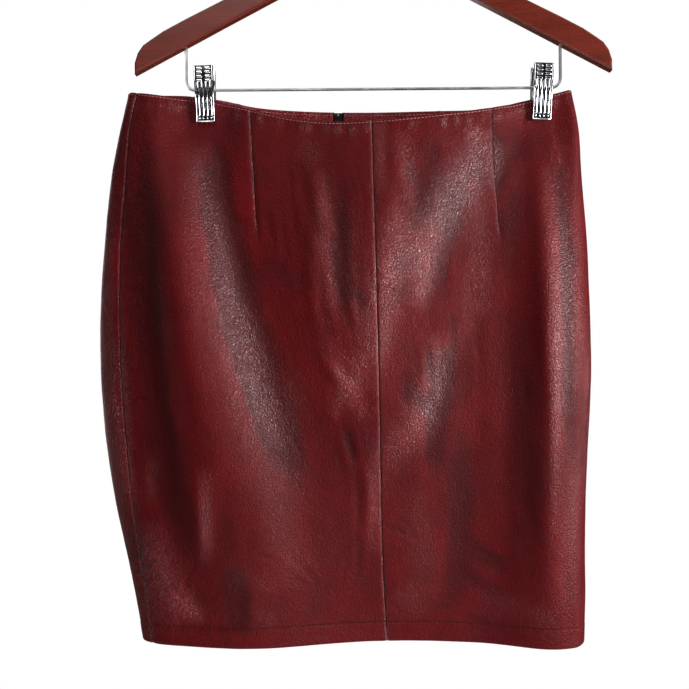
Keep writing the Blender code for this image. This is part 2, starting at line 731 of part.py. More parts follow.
def build_pull():
    """Build the pull tab: a flat strap with a window whose top bar is held by the bridge."""
    thick = PULL_THICKNESS / 2.0
    top = PIN_RADIUS
    tab = bmesh.new()
    bmesh.ops.create_cube(tab, size=1.0)
    bmesh.ops.scale(tab, verts=tab.verts[:],
                    vec=Vector((PULL_WIDTH, PULL_THICKNESS, PULL_LENGTH + top)) * MM)
    bmesh.ops.translate(tab, verts=tab.verts[:],
                        vec=Vector((0.0, 0.0, (top - PULL_LENGTH) / 2.0)) * MM)
    upright = [edge for edge in tab.edges
               if abs(edge.verts[0].co.y - edge.verts[1].co.y) > thick * MM]
    bmesh.ops.bevel(tab, geom=upright, offset=PULL_CORNER * MM, segments=2,
                    profile=0.5, affect="EDGES", material=-1)
    made = add_object("zip_pull", tab, "zip_metal", 0.5)
    cutter = bmesh.new()
    bmesh.ops.create_cube(cutter, size=1.0)
    bmesh.ops.scale(cutter, verts=cutter.verts[:],
                    vec=Vector((BRIDGE_WIDTH + 2.0 * BRIDGE_SIDE_GAP, 4.0 * PULL_THICKNESS,
                                PULL_WINDOW_LENGTH - PIN_RADIUS)) * MM)
    bmesh.ops.translate(cutter, verts=cutter.verts[:], vec=Vector(
        (0.0, 0.0, -(PULL_WINDOW_LENGTH + PIN_RADIUS) / 2.0)) * MM)
    made.matrix_world = slider_frame() @ Matrix.Translation(Vector((0.0, pull_height(), 0.0)) * MM)
    add_boolean(made, "DIFFERENCE", helper_shape("window_shape", cutter, made.matrix_world))


# ---------------------------------------------------------------- the hanger

def hanger_frame():
    """Return the hanger's place: it hangs from the origin, leaning a little."""
    return Matrix.Rotation(HANGER_LEAN, 4, "Y")


def wood_outline():
    """Return the wooden body's outline in the X-Z plane (mm), from one tip to the other."""
    top_right = [(x, -float(WOOD["top_below_hook"](x))) for x in WOOD_TOP_STATIONS]
    under_right = [(x, -float(WOOD["underside_below_hook"](x))) for x in WOOD_UNDER_STATIONS]
    top_left = [(-x, z) for x, z in reversed(top_right[1:])]
    under_left = [(-x, z) for x, z in under_right[1:]]
    return top_left + top_right + under_right[::-1] + under_left


def socket_cutter(name, radius, across, upper, lower):
    """Make an upright round cutter for a socket in the wood (mm)."""
    shape = bmesh.new()
    bmesh.ops.create_cone(shape, cap_ends=True, segments=12, radius1=radius * MM,
                          radius2=radius * MM, depth=(lower - upper) * MM)
    middle = Vector((across, 0.0, -(upper + lower) / 2.0)) * MM
    return helper_shape(name, shape, hanger_frame() @ Matrix.Translation(middle))


def build_wood():
    """Build the wooden body with its sockets for the hook and the bar."""
    body = bmesh.new()
    half = WOOD_THICKNESS / 2.0
    corners = [body.verts.new(Vector((x, -half, z)) * MM) for x, z in wood_outline()]
    face = body.faces.new(corners)
    swept = bmesh.ops.extrude_face_region(body, geom=[face])
    moved = [item for item in swept["geom"] if isinstance(item, bmesh.types.BMVert)]
    bmesh.ops.translate(body, verts=moved, vec=Vector((0.0, WOOD_THICKNESS * MM, 0.0)))
    bmesh.ops.recalc_face_normals(body, faces=body.faces[:])
    rims = [edge for edge in body.edges
            if abs(edge.verts[0].co.y - edge.verts[1].co.y) < half * MM]
    bmesh.ops.bevel(body, geom=rims, offset=WOOD_BEVEL * MM, segments=2, profile=0.5,
                    affect="EDGES", material=-1)
    made = add_object("hanger_wood", body, "wood", 0.6)
    made.matrix_world = hanger_frame()
    sockets = [socket_cutter("hook_socket", HOOK_WIRE_RADIUS + SOCKET_CLEARANCE, 0.0,
                             *HOOK_SOCKET)]
    for side in (-1.0, 1.0):
        sockets.append(socket_cutter("bar_socket", BAR_RADIUS + SOCKET_CLEARANCE,
                                     side * BAR_HALF_SPAN, *BAR_SOCKET))
    for cutter in sockets:
        add_boolean(made, "DIFFERENCE", cutter)


def add_wire(node, route, radius, sides):
    """Build a round wire along a route (mm) in the hanger's plane, with closed ends."""
    curve = bpy.data.curves.new(node, "CURVE")
    curve.dimensions = "3D"
    curve.bevel_depth = radius * MM
    curve.bevel_resolution = sides // 4 - 1 + (sides % 4 > 0)
    curve.use_fill_caps = True
    spline = curve.splines.new("POLY")
    spline.points.add(len(route) - 1)
    for point, (x, z) in zip(spline.points, route):
        point.co = (x * MM, 0.0, z * MM, 1.0)
    spline.use_smooth = True
    curve.materials.append(own_material(node, "chrome"))
    made = bpy.data.objects.new(node, curve)
    bpy.context.scene.collection.objects.link(made)
    made.matrix_world = hanger_frame()


def hook_route():
    """Return the hook's middle line: up the shank, out and over the rail (mm)."""
    radius = HOOK_INNER_RADIUS + HOOK_WIRE_RADIUS
    centre = Vector((0.0, -HOOK_INNER_RADIUS))
    join = centre + radius * Vector((math.cos(HOOK_JOIN_TURN), math.sin(HOOK_JOIN_TURN)))
    onward = Vector((-math.sin(HOOK_JOIN_TURN), math.cos(HOOK_JOIN_TURN)))
    shank_top = Vector((0.0, -HOOK_SHANK_TOP))
    leaving = shank_top + Vector((0.0, HOOK_SWEEP / 2.0))
    arriving = join - HOOK_SWEEP * onward
    route = [Vector((0.0, -(HOOK_SOCKET[1] - 2.0))), Vector((0.0, -HOOK_SOCKET[0])), shank_top]
    for k in range(1, HOOK_SWEEP_STEPS):
        ahead = k / HOOK_SWEEP_STEPS
        behind = 1.0 - ahead
        route.append(behind ** 3 * shank_top + 3.0 * ahead * behind ** 2 * leaving
                     + 3.0 * ahead ** 2 * behind * arriving + ahead ** 3 * join)
    for k in range(HOOK_BEND_STEPS + 1):
        turn = HOOK_JOIN_TURN + (HOOK_END_TURN - HOOK_JOIN_TURN) * k / HOOK_BEND_STEPS
        route.append(centre + radius * Vector((math.cos(turn), math.sin(turn))))
    return route


def bar_route():
    """Return the bar's middle line: down from one arm, across and up into the other (mm)."""
    top = -(BAR_SOCKET[0] + 3.0)
    corner_steps = 6
    right_half = []
    for k in range(corner_steps + 1):
        turn = math.radians(-90.0 + 90.0 * k / corner_steps)
        right_half.append((BAR_HALF_SPAN - BAR_BEND + BAR_BEND * math.cos(turn),
                           -BAR_BELOW_HOOK + BAR_BEND + BAR_BEND * math.sin(turn)))
    right_half.append((BAR_HALF_SPAN, top))
    left_half = [(-x, z) for x, z in reversed(right_half)]
    return left_half + [(0.0, -BAR_BELOW_HOOK)] + right_half


def build_plate(node, frame, face_side, jaw):
    """Build one clip plate: a face with two side flanges and a lip that grips the cloth.

    face_side is -1 for the front plate and 1 for the back plate; jaw is the cloth's distance
    from the middle plane on that side.
    """
    half = PLATE_WIDTH / 2.0
    shell = bmesh.new()
    rows = []
    for level in PLATE_LEVELS:
        inner = max(level["flange"], jaw + SEAM_GAP)
        outline = ((-half, inner), (-half, level["face"]), (half, level["face"]), (half, inner))
        rows.append([shell.verts.new(Vector((x, face_side * y, level["height"])) * MM)
                     for x, y in outline])
    for upper, lower in zip(rows, rows[1:]):
        for c in range(3):
            shell.faces.new((upper[c], upper[c + 1], lower[c + 1], lower[c]))
    last = rows[-1]
    shell.faces.new((last[0], last[1], last[2], last[3]))
    if face_side < 0:
        bmesh.ops.reverse_faces(shell, faces=shell.faces[:])
    made = add_object(node, shell, "chrome", 0.5)
    add_wall(made, PLATE_WALL)
    made.matrix_world = frame


def plate_face(height):
    """Distance of a clip plate's face from the middle plane at a height from the bar (mm)."""
    upwards = PLATE_LEVELS[::-1]
    return float(np.interp(height, [level["height"] for level in upwards],
                           [level["face"] for level in upwards]))


def build_spring(node, frame):
    """Build the band spring that sits over the bar and presses both plates."""
    over = BAR_RADIUS + SPRING_CLEARANCE
    arc_steps = 6
    inner = []
    outer = []
    for height in SPRING_LEG_HEIGHTS:
        reach = plate_face(height) - PLATE_WALL - SOCKET_CLEARANCE
        outer.append((reach, height))
        inner.append((reach - SPRING_WALL, height))
    for k in range(arc_steps + 1):
        turn = math.pi / 2.0 * k / arc_steps
        inner.append((over * math.cos(turn), over * math.sin(turn)))
        outer.append(((over + SPRING_WALL) * math.cos(turn),
                      (over + SPRING_WALL) * math.sin(turn)))
    outer_left = [(-y, z) for y, z in reversed(outer[:-1])]
    inner_left = [(-y, z) for y, z in inner[:-1]]
    profile = outer + outer_left + inner_left + inner[::-1]
    made = add_object(node, extruded_profile(profile, SPRING_WIDTH), "chrome", 0.6)
    made.matrix_world = frame


def build_clips():
    """Build the two clips that hold the waist, each leaning in towards the skirt."""
    for name, side in (("left", -1.0), ("right", 1.0)):
        place = hanger_frame() @ Matrix.Translation(
            Vector((side * CLIP_REACH, 0.0, -BAR_BELOW_HOOK)) * MM)
        frame = place @ Matrix.Rotation(side * CLIP_LEAN - HANGER_LEAN, 4, "Y")
        build_plate("clip_" + name + "_front", frame, -1.0, GRIP_FRONT)
        build_plate("clip_" + name + "_back", frame, 1.0, GRIP_BACK)
        build_spring("clip_" + name + "_spring", frame)


def build_hanger():
    """Build the hanger: wood, hook, bar and clips."""
    build_wood()
    add_wire("hanger_hook", hook_route(), HOOK_WIRE_RADIUS, 8)
    add_wire("hanger_bar", bar_route(), BAR_RADIUS, 8)
    build_clips()


def build_skirt():
    """Build the skirt: four panels, the back facing and the zip."""
    for name in PANELS:
        build_panel(name)
    for name in ("back_left", "back_right"):
        build_facing(name)
        build_tape(name)
    build_chain()
    build_slider()
    build_pull()


clear_scene()
build_skirt()
build_hanger()
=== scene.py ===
"""Leather pencil skirt on a clip hanger: the finished look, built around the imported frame.

The skin of the skirt is worked out from its section, fold and waist tables as a stack of level
rings. Each quarter is a thin leather wall on that skin with turned edges, seams, darts,
stitching and creases. Tables are in millimetres and the scene is in metres, +Z up; the front
looks along -Y and "below" is the distance below the top of the hook's inner curve.
"""

import logging
import math
from dataclasses import dataclass
from enum import Enum
from typing import Callable, Sequence

import bmesh
import bpy
import numpy as np
from mathutils import Matrix, Vector, noise


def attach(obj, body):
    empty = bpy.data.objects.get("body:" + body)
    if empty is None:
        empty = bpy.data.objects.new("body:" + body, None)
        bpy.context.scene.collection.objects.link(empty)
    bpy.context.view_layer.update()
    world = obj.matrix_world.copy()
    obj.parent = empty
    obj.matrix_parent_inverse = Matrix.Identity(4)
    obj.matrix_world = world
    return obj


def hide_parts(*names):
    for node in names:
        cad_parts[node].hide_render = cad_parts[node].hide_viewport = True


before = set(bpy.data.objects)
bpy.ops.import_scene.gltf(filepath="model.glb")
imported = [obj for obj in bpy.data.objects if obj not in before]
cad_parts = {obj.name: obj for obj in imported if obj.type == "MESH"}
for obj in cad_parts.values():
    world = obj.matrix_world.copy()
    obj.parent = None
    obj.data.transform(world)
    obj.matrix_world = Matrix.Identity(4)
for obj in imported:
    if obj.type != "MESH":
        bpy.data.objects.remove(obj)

MM = 0.001
SKIRT_BODY = "skirt"
LOG = logging.getLogger("leather_skirt")

# The widest gap in the panels' grids (mm), and the angle from which an edge stays sharp.
SPACING = 1.95
SHARP = math.radians(50.0)

# Where the random draws of each face's creases start, and those of the back's worn gloss and
# painted shading.
FRONT_SEED = 11
BACK_SEED = 29
GLOSS_AND_SHADING_SEED = 31

Array = np.ndarray
Curve = Callable[[Array], Array]
Places = tuple[float, ...]
Colour = tuple[float, float, float]
Stop = tuple[str, float]
Line = tuple[str, float, str, float, float]
Shape = bmesh.types.BMesh
Piece = bpy.types.Object
Material = bpy.types.Material
Node = bpy.types.Node
Socket = bpy.types.NodeSocket
Sockets = Sequence[Socket]
Feeds = dict[str | int, object]

# One row for each level ring, from the waist to the hem (mm).
SECTION_COLUMNS = ("below", "left", "right", "front_middle", "back_middle", "left_seam",
                   "end_depth", "left_round", "right_round")
SECTION_ROWS = (
    (224.0, -225.5, 186.2, -0.4, -31.0, -215.5, 5.5, 6.0, 5.5),
    (261.0, -234.0, 192.9, -0.2, -31.6, -223.4, 8.0, 14.0, 8.0),
    (299.0, -241.4, 195.7, 0.5, -32.4, -226.2, 11.0, 22.0, 12.0),
    (355.0, -248.0, 199.4, 2.0, -33.2, -230.3, 15.0, 32.0, 16.0),
    (420.0, -252.2, 202.2, 4.0, -33.6, -231.3, 18.0, 38.0, 18.0),
    (486.0, -252.2, 203.6, 5.6, -33.0, -229.7, 19.0, 41.0, 19.0),
    (560.0, -246.1, 200.6, 7.5, -30.6, -224.2, 18.0, 40.0, 18.0),
    (635.0, -233.0, 198.3, 9.2, -26.6, -216.3, 16.5, 38.0, 17.0),
    (691.0, -220.9, 198.6, 11.7, -23.0, -207.8, 15.0, 36.0, 16.0),
    (739.0, -212.3, 197.5, 14.7, -20.0, -201.3, 14.0, 34.0, 15.0),
)

# One row for each large fold: a soft upright ridge's middle, how far it stands proud and its
# width, each at five levels (mm).
FOLD_STATIONS = (224.0, 310.0, 420.0, 560.0, 739.0)
FOLD_ROWS = {
    "front": (
        ((36.0, 10.0, -8.0, 4.0, 26.0),
         (16.0, 22.0, 24.0, 11.0, -8.0),
         (88.0, 84.0, 84.0, 84.0, 80.0)),
        ((-196.0, -186.0, -170.0, -143.0, -112.0),
         (6.0, 17.0, 22.0, 24.0, 16.0),
         (24.0, 28.0, 42.0, 58.0, 70.0)),
        ((160.0, 162.0, 164.0, 165.0, 162.0),
         (2.0, 15.0, 20.0, 20.0, 18.0),
         (30.0, 32.0, 34.0, 36.0, 40.0)),
    ),
    "back": (
        ((-20.0, -21.0, -22.0, -23.0, -26.0),
         (14.0, 18.0, 24.0, 24.0, 15.0),
         (110.0, 106.0, 104.0, 102.0, 100.0)),
        ((-157.0, -152.0, -144.0, -135.0, -122.0),
         (0.0, 11.0, 20.0, 22.0, 17.0),
         (42.0, 50.0, 57.0, 61.0, 64.0)),
        ((157.0, 154.0, 151.0, 147.0, 142.0),
         (0.0, 12.0, 21.0, 23.0, 20.0),
         (38.0, 44.0, 49.0, 51.0, 52.0)),
    ),
}

# The waist's upper edge, from the left fold to the right fold (mm).
WAIST_COLUMNS = ("across", "front_edge", "back_edge")
WAIST_ROWS = (
    (-226.0, 228.2, 228.2),
    (-198.0, 231.6, 228.0),
    (-157.0, 233.6, 231.4),
    (-112.0, 243.8, 237.2),
    (-66.0, 254.6, 239.7),
    (-20.0, 258.5, 240.2),
    (26.0, 256.2, 240.3),
    (72.0, 250.2, 240.4),
    (112.0, 243.2, 239.4),
    (157.0, 231.6, 231.4),
    (187.0, 224.8, 224.8),
)

# One row for each quarter: the way it runs round the ring from its centre line, its dart's
# distance from that line at the top and at its point and the dart's length (mm), and the cut that
# shows: its widest and longest flat size (m) and its flat area (square m).
QUARTER_ROWS = {
    "front_left": (-1, 114.0, 110.0, 112.0, 0.249, 0.514, 0.1188),
    "front_right": (1, 111.5, 116.0, 116.0, 0.247, 0.517, 0.1188),
    "back_left": (1, 96.0, 94.0, 125.0, 0.268, 0.519, 0.1262),
    "back_right": (-1, 96.0, 94.0, 125.0, 0.248, 0.516, 0.1157),
}

# How the noise that puckers the leather is drawn out, beside edges and beside seams.
PUCKER_SQUASH = (1.0, 1.0, 0.15)
SEAM_SQUASH = (0.25, 0.25, 1.0)

# Twice the across of the line about which the back's creases turn those of the front (mm).
BACK_TURN = -45.0

# Main creases of the front: three places along each (across, below), then its width and its
# depth. A negative depth stands proud as a soft ridge (mm).
FRONT_CREASES = (
    (-227, 405, -214, 415, -197, 435, 2.4, 0.38), (-228, 430, -215, 441, -202, 465, 2.2, 0.3),
    (-216, 316, -208, 321, -200, 323, 1.8, 0.3), (-217, 325, -209, 328, -201, 333, 1.8, 0.3),
    (-214, 334, -208, 336, -203, 344, 1.5, 0.21), (-222, 484, -214, 485, -203, 483, 2.0, 0.26),
    (-224, 498, -213, 505, -202, 515, 2.2, 0.26), (-222, 530, -213, 535, -206, 547, 2.2, 0.26),
    (-208, 577, -200, 580, -194, 588, 4.1, 0.42), (-216, 583, -208, 589, -202, 600, 3.4, 0.27),
    (-219, 598, -208, 600, -196, 598, 2.4, 0.24), (-194, 603, -186, 613, -176, 617, 3.4, 0.21),
    (-210, 665, -199, 669, -187, 680, 3.0, 0.33), (-206, 682, -196, 688, -182, 691, 3.0, 0.3),
    (-188, 669, -180, 680, -177, 695, 2.7, 0.27), (-202, 699, -191, 706, -174, 708, 3.2, 0.33),
    (-174, 690, -165, 695, -153, 694, 3.0, 0.21), (-213, 705, -208, 715, -206, 726, 2.4, 0.24),
    (-199, 705, -196, 716, -194, 731, 2.0, 0.24), (-202, 638, -191, 643, -177, 654, 3.2, 0.24),
    (-194, 650, -181, 661, -164, 665, 3.5, 0.24), (-161, 668, -148, 678, -139, 694, 4.1, 0.21),
    (-153, 265, -144, 280, -134, 304, 5.0, 0.6), (-164, 267, -168, 284, -176, 302, 5.0, 0.5),
    (-142, 304, -137, 308, -132, 307, 2.4, 0.34), (-202, 243, -201, 251, -198, 260, 2.2, 0.34),
    (164, 239, 166, 246, 167, 254, 2.2, 0.42), (169, 241, 172, 245, 176, 246, 2.0, 0.34),
    (137, 265, 131, 288, 120, 310, 6.0, 0.5), (155, 265, 161, 284, 164, 306, 5.0, 0.4),
    (-103, 299, -99, 304, -94, 317, 3.3, 0.3), (-100, 339, -94, 356, -87, 376, 4.0, 0.6),
    (-84, 350, -80, 369, -79, 391, 3.3, 0.42), (-91, 391, -81, 402, -72, 421, 5.0, 0.4),
    (-76, 321, -73, 339, -72, 366, 2.8, 0.26), (-139, 339, -120, 350, -98, 355, 4.0, 0.25),
    (-128, 543, -113, 541, -93, 540, 2.0, 0.3), (-117, 549, -102, 550, -85, 547, 1.8, 0.21),
    (-73, 547, -68, 555, -63, 563, 2.4, 0.42), (-103, 563, -94, 566, -87, 574, 2.2, 0.26),
    (-106, 650, -94, 654, -81, 659, 2.4, 0.42), (-73, 654, -60, 668, -46, 684, 2.6, 0.51),
    (-76, 668, -65, 678, -50, 682, 2.2, 0.34), (-57, 291, -50, 328, -38, 373, 6.0, -0.8),
    (-63, 295, -60, 328, -54, 369, 5.0, 0.6), (-43, 384, -40, 413, -32, 454, 5.0, -0.6),
    (-48, 387, -46, 421, -37, 465, 4.0, 0.5), (-26, 413, -23, 435, -13, 465, 3.3, 0.34),
    (-20, 410, -17, 435, -14, 465, 2.8, -0.34), (-50, 469, -35, 487, -20, 506, 5.0, -0.6),
    (-43, 465, -28, 484, -9, 502, 4.0, 0.5), (-29, 413, -13, 421, -5, 435, 6.0, 0.5),
    (-23, 535, -20, 554, -15, 572, 3.5, 0.9), (-15, 572, -11, 602, -12, 635, 4.5, 0.9),
    (-13, 628, -12, 654, -16, 680, 3.5, 0.5), (-29, 543, -24, 561, -20, 583, 4.0, -0.5),
    (-9, 572, -5, 602, -4, 635, 4.0, -0.5), (-4, 532, 2, 530, 7, 532, 1.5, 0.42),
    (-5, 540, 2, 538, 7, 540, 1.4, 0.38), (-3, 547, 2, 545, 8, 547, 1.3, 0.34),
    (-4, 606, 3, 609, 8, 611, 1.5, 0.42), (0, 598, 5, 600, 8, 603, 1.3, 0.3),
    (9, 554, 17, 552, 27, 555, 2.2, 0.3), (10, 360, 31, 358, 59, 355, 2.8, 0.21),
    (-43, 355, -20, 359, 5, 356, 2.8, 0.21), (15, 317, 24, 332, 28, 350, 5.0, 0.5),
    (24, 273, 28, 295, 35, 317, 6.0, 0.5), (39, 269, 46, 299, 48, 324, 7.0, -0.5),
    (57, 384, 65, 402, 69, 428, 4.0, 0.4), (42, 402, 51, 428, 54, 450, 3.3, 0.34),
    (43, 461, 45, 480, 45, 495, 3.3, -0.59), (49, 458, 51, 480, 51, 500, 3.3, 0.51),
    (9, 387, 15, 421, 14, 458, 7.0, -0.5), (68, 428, 73, 450, 74, 484, 4.0, 0.4),
    (80, 428, 84, 450, 88, 472, 4.0, -0.35), (94, 435, 96, 465, 99, 514, 3.3, 0.42),
    (83, 469, 85, 495, 79, 524, 5.0, 0.35), (24, 487, 42, 509, 65, 524, 7.0, 0.5),
    (9, 509, 28, 524, 46, 550, 6.0, -0.4), (53, 546, 56, 569, 50, 598, 7.0, 0.4),
    (9, 628, 26, 632, 44, 646, 2.4, 0.42), (25, 620, 33, 630, 41, 640, 2.2, 0.34),
    (15, 687, 25, 688, 36, 695, 2.4, 0.38), (11, 698, 20, 703, 28, 713, 2.2, 0.34),
    (135, 487, 138, 506, 139, 520, 3.3, 0.42), (134, 591, 139, 613, 150, 635, 5.0, 0.5),
    (83, 635, 105, 654, 135, 665, 9.0, 0.6), (76, 665, 98, 680, 120, 687, 7.0, 0.45),
    (109, 546, 115, 572, 113, 602, 8.0, 0.5), (160, 435, 161, 465, 161, 495, 4.0, 0.35),
    (176, 339, 179, 369, 181, 398, 5.0, 0.35), (76, 711, 94, 714, 124, 724, 3.3, 0.42),
    (-191, 713, -146, 717, -94, 718, 4.1, 0.24), (164, 657, 172, 672, 176, 694, 5.0, 0.4),
)

# Broad folds of the front: three places along each (across, below), its width and how far it
# stands proud, or below zero how far it sinks (mm).
BROAD_FOLDS = (
    (-180, 267, -171, 422, -128, 620, 15.3, 2.6), (-150, 271, -119, 431, -65, 602, 15.3, -2.6),
    (-200, 278, -200, 449, -169, 656, 12.6, -2.0), (-220, 314, -222, 377, -218, 449, 7.2, -0.4),
    (-162, 561, -157, 611, -153, 660, 7.2, 1.1), (-135, 561, -132, 611, -128, 660, 8.1, -0.5),
    (-177, 656, -180, 692, -184, 728, 12.6, 1.4), (-123, 656, -119, 692, -116, 728, 13.5, -1.6),
    (-92, 278, -87, 359, -72, 449, 11.7, 0.6), (-60, 296, -55, 377, -49, 458, 7.2, 1.0),
    (-27, 300, -28, 377, -26, 453, 7.2, -0.9), (-65, 449, -49, 530, -45, 620, 13.5, -0.4),
    (-29, 494, -26, 548, -22, 620, 7.2, -0.4), (-9, 512, -6, 584, -6, 656, 7.2, 0.5),
    (-99, 530, -79, 620, -65, 710, 15.3, 0.5), (-126, 530, -99, 638, -94, 714, 15.3, 1.2),
    (23, 267, 18, 314, 7, 368, 9.9, 1.6), (63, 269, 43, 341, 18, 413, 11.7, -0.6),
    (95, 269, 70, 359, 43, 449, 12.6, -1.0), (133, 269, 115, 368, 79, 449, 14.4, 0.5),
    (70, 458, 61, 512, 52, 575, 9.9, -1.4), (34, 449, 27, 512, 18, 584, 9.9, -0.3),
    (7, 422, 5, 476, 3, 539, 6.3, 1.2), (106, 458, 111, 548, 115, 656, 13.5, 2.0),
    (74, 530, 79, 620, 74, 710, 14.4, -1.1), (153, 264, 155, 422, 160, 575, 9.0, 2.6),
    (171, 269, 174, 422, 174, 575, 8.1, -1.4), (152, 520, 156, 610, 158, 700, 12.6, 2.8),
    (133, 512, 133, 602, 133, 710, 10.8, 1.2), (97, 267, 100, 296, 102, 332, 7.2, -0.8),
    (115, 267, 117, 296, 117, 332, 7.2, -1.4), (115, 359, 111, 422, 102, 494, 13.5, 1.6),
)


class GlossAndPaintedShading(Enum):
    """How the leather is worn along a stroke: what it adds to its polish, and what it adds to its
    dye as painted shading, painted shade where below zero and painted highlight where above.
    """

    # Below zero the second value darkens the dye as painted shade on the dark bands; above zero it
    # lightens it as painted highlight on the bright bands.
    DULL = (-0.6, -0.2)
    QUIET = (-0.2, -0.1)
    PAINTED_LIGHT = (0.0, 0.2)
    SOFT = (0.25, 0.0)
    RUBBED = (0.5, 0.1)
    GLOSSY = (0.85, 0.2)
    BRIGHT = (1.2, 0.2)


# How the leather of the front is worn and shaded: an even polish and dye, and soft strokes
# (across, below at three places, width, gloss with painted shading) that add to them; the dye
# changes of the strokes are painted shade on dark bands and painted highlight on bright ones.
EVEN_POLISH = 0.05
EVEN_TINT = 0.35
GLOSS_AND_PAINTED_SHADING_STROKES = (
    (-166, 278, -135, 422, -86, 602, 18.0, GlossAndPaintedShading.GLOSSY),
    (-99, 548, -83, 620, -65, 692, 13.5, GlossAndPaintedShading.SOFT),
    (-194, 278, -196, 386, -191, 512, 14.4, GlossAndPaintedShading.DULL),
    (-187, 512, -171, 602, -162, 656, 11.7, GlossAndPaintedShading.DULL),
    (-45, 300, -42, 377, -38, 453, 8.1, GlossAndPaintedShading.GLOSSY),
    (115, 269, 70, 332, 25, 413, 18.0, GlossAndPaintedShading.BRIGHT),
    (88, 314, 99, 395, 70, 494, 14.4, GlossAndPaintedShading.SOFT),
    (25, 332, 11, 422, -11, 512, 13.5, GlossAndPaintedShading.GLOSSY),
    (61, 449, 52, 512, 7, 575, 13.5, GlossAndPaintedShading.GLOSSY),
    (20, 269, 34, 305, 29, 341, 8.1, GlossAndPaintedShading.RUBBED),
    (140, 269, 128, 359, 124, 422, 11.7, GlossAndPaintedShading.DULL),
    (128, 422, 137, 530, 142, 692, 18.0, GlossAndPaintedShading.DULL),
    (173, 251, 176, 377, 180, 530, 11.7, GlossAndPaintedShading.RUBBED),
    (182, 530, 180, 620, 173, 710, 9.9, GlossAndPaintedShading.SOFT),
    (88, 530, 88, 602, 88, 692, 23.4, GlossAndPaintedShading.QUIET),
    (-149, 570, -149, 615, -149, 660, 6.3, GlossAndPaintedShading.BRIGHT),
    (-234, 300, -236, 368, -233, 431, 6.3, GlossAndPaintedShading.PAINTED_LIGHT),
    (-200, 620, -187, 674, -173, 719, 14.4, GlossAndPaintedShading.GLOSSY),
    (-24, 476, -20, 557, -15, 656, 6.3, GlossAndPaintedShading.QUIET),
    (-65, 476, -74, 539, -65, 620, 12.6, GlossAndPaintedShading.SOFT),
    (-110, 269, -119, 332, -110, 395, 12.6, GlossAndPaintedShading.PAINTED_LIGHT),
    (52, 269, 47, 314, 43, 359, 8.1, GlossAndPaintedShading.QUIET),
    (43, 584, 47, 647, 52, 710, 16.2, GlossAndPaintedShading.SOFT),
    (-20, 332, -18, 395, -15, 458, 8.1, GlossAndPaintedShading.SOFT),
    (7, 548, 2, 602, 2, 656, 8.1, GlossAndPaintedShading.RUBBED),
    (-115, 422, -99, 494, -83, 557, 10.8, GlossAndPaintedShading.GLOSSY),
    (-151, 323, -133, 395, -115, 449, 9.0, GlossAndPaintedShading.RUBBED),
    (88, 269, 65, 323, 43, 368, 9.0, GlossAndPaintedShading.QUIET),
    (119, 278, 115, 300, 113, 323, 7.2, GlossAndPaintedShading.SOFT),
    (101, 431, 88, 467, 65, 505, 6.3, GlossAndPaintedShading.QUIET),
    (-231, 449, -227, 539, -218, 620, 6.3, GlossAndPaintedShading.RUBBED),
    (196, 422, 198, 530, 194, 620, 6.3, GlossAndPaintedShading.BRIGHT),
    (160, 287, 164, 422, 169, 557, 7.2, GlossAndPaintedShading.RUBBED),
    (-227, 269, -233, 296, -238, 332, 6.3, GlossAndPaintedShading.QUIET),
    (-133, 656, -110, 674, -83, 683, 9.0, GlossAndPaintedShading.SOFT),
    (25, 683, 34, 696, 43, 719, 10.8, GlossAndPaintedShading.SOFT),
    (97, 692, 133, 701, 169, 714, 10.8, GlossAndPaintedShading.SOFT),
    (-65, 269, -56, 287, -47, 300, 10.8, GlossAndPaintedShading.SOFT),
    (-11, 467, -25, 507, -34, 530, 9.0, GlossAndPaintedShading.RUBBED),
    (50, 368, 47, 404, 36, 431, 8.1, GlossAndPaintedShading.GLOSSY),
    (-38, 449, -25, 494, -2, 530, 7.2, GlossAndPaintedShading.GLOSSY),
    (158, 260, 160, 278, 165, 305, 6.3, GlossAndPaintedShading.QUIET),
    (11, 260, 7, 287, 10, 332, 5.4, GlossAndPaintedShading.RUBBED),
    (88, 260, 95, 271, 102, 287, 7.2, GlossAndPaintedShading.RUBBED),
    (-196, 557, -200, 584, -204, 611, 7.2, GlossAndPaintedShading.RUBBED),
    (-173, 683, -164, 701, -151, 714, 8.1, GlossAndPaintedShading.GLOSSY),
    (-110, 692, -99, 705, -88, 719, 8.1, GlossAndPaintedShading.SOFT),
    (-162, 269, -158, 305, -152, 354, 11.7, GlossAndPaintedShading.SOFT),
    (158, 422, 162, 530, 160, 656, 5.4, GlossAndPaintedShading.RUBBED),
)

# Fields of small creases, one row for each; WrinkleField names the columns.
FIELD_ROWS = (
    (-216.0, 470.0, 15.0, 135.0, 16, 17.0, 1.9, 0.30, 30.0, 45.0, 0.7),
    (-212.0, 310.0, 13.0, 46.0, 12, 15.0, 1.9, 0.36, 50.0, 70.0, 1.0),
    (-188.0, 676.0, 32.0, 52.0, 26, 14.0, 2.0, 0.36, 40.0, 90.0, 1.0),
    (-150.0, 705.0, 60.0, 24.0, 12, 14.0, 2.0, 0.26, 20.0, 80.0, 0.5),
    (-35.0, 380.0, 45.0, 110.0, 40, 30.0, 2.0, 0.20, 82.0, 16.0, 0.25),
    (-120.0, 480.0, 50.0, 110.0, 20, 20.0, 1.9, 0.14, 60.0, 30.0, 0.15),
    (60.0, 430.0, 50.0, 110.0, 32, 22.0, 1.9, 0.18, 70.0, 32.0, 0.3),
    (176.0, 470.0, 20.0, 190.0, 20, 24.0, 1.9, 0.14, 84.0, 20.0, 0.1),
    (30.0, 660.0, 100.0, 50.0, 26, 20.0, 1.9, 0.20, 25.0, 60.0, 0.2),
    (-25.0, 480.0, 205.0, 235.0, 90, 16.0, 1.9, 0.10, 60.0, 90.0, 0.1),
)


class Face(Enum):
    """The two faces of the skirt as it hangs."""

    FRONT = "front"
    BACK = "back"


# ---------------------------------------------------------------- curves and sampling

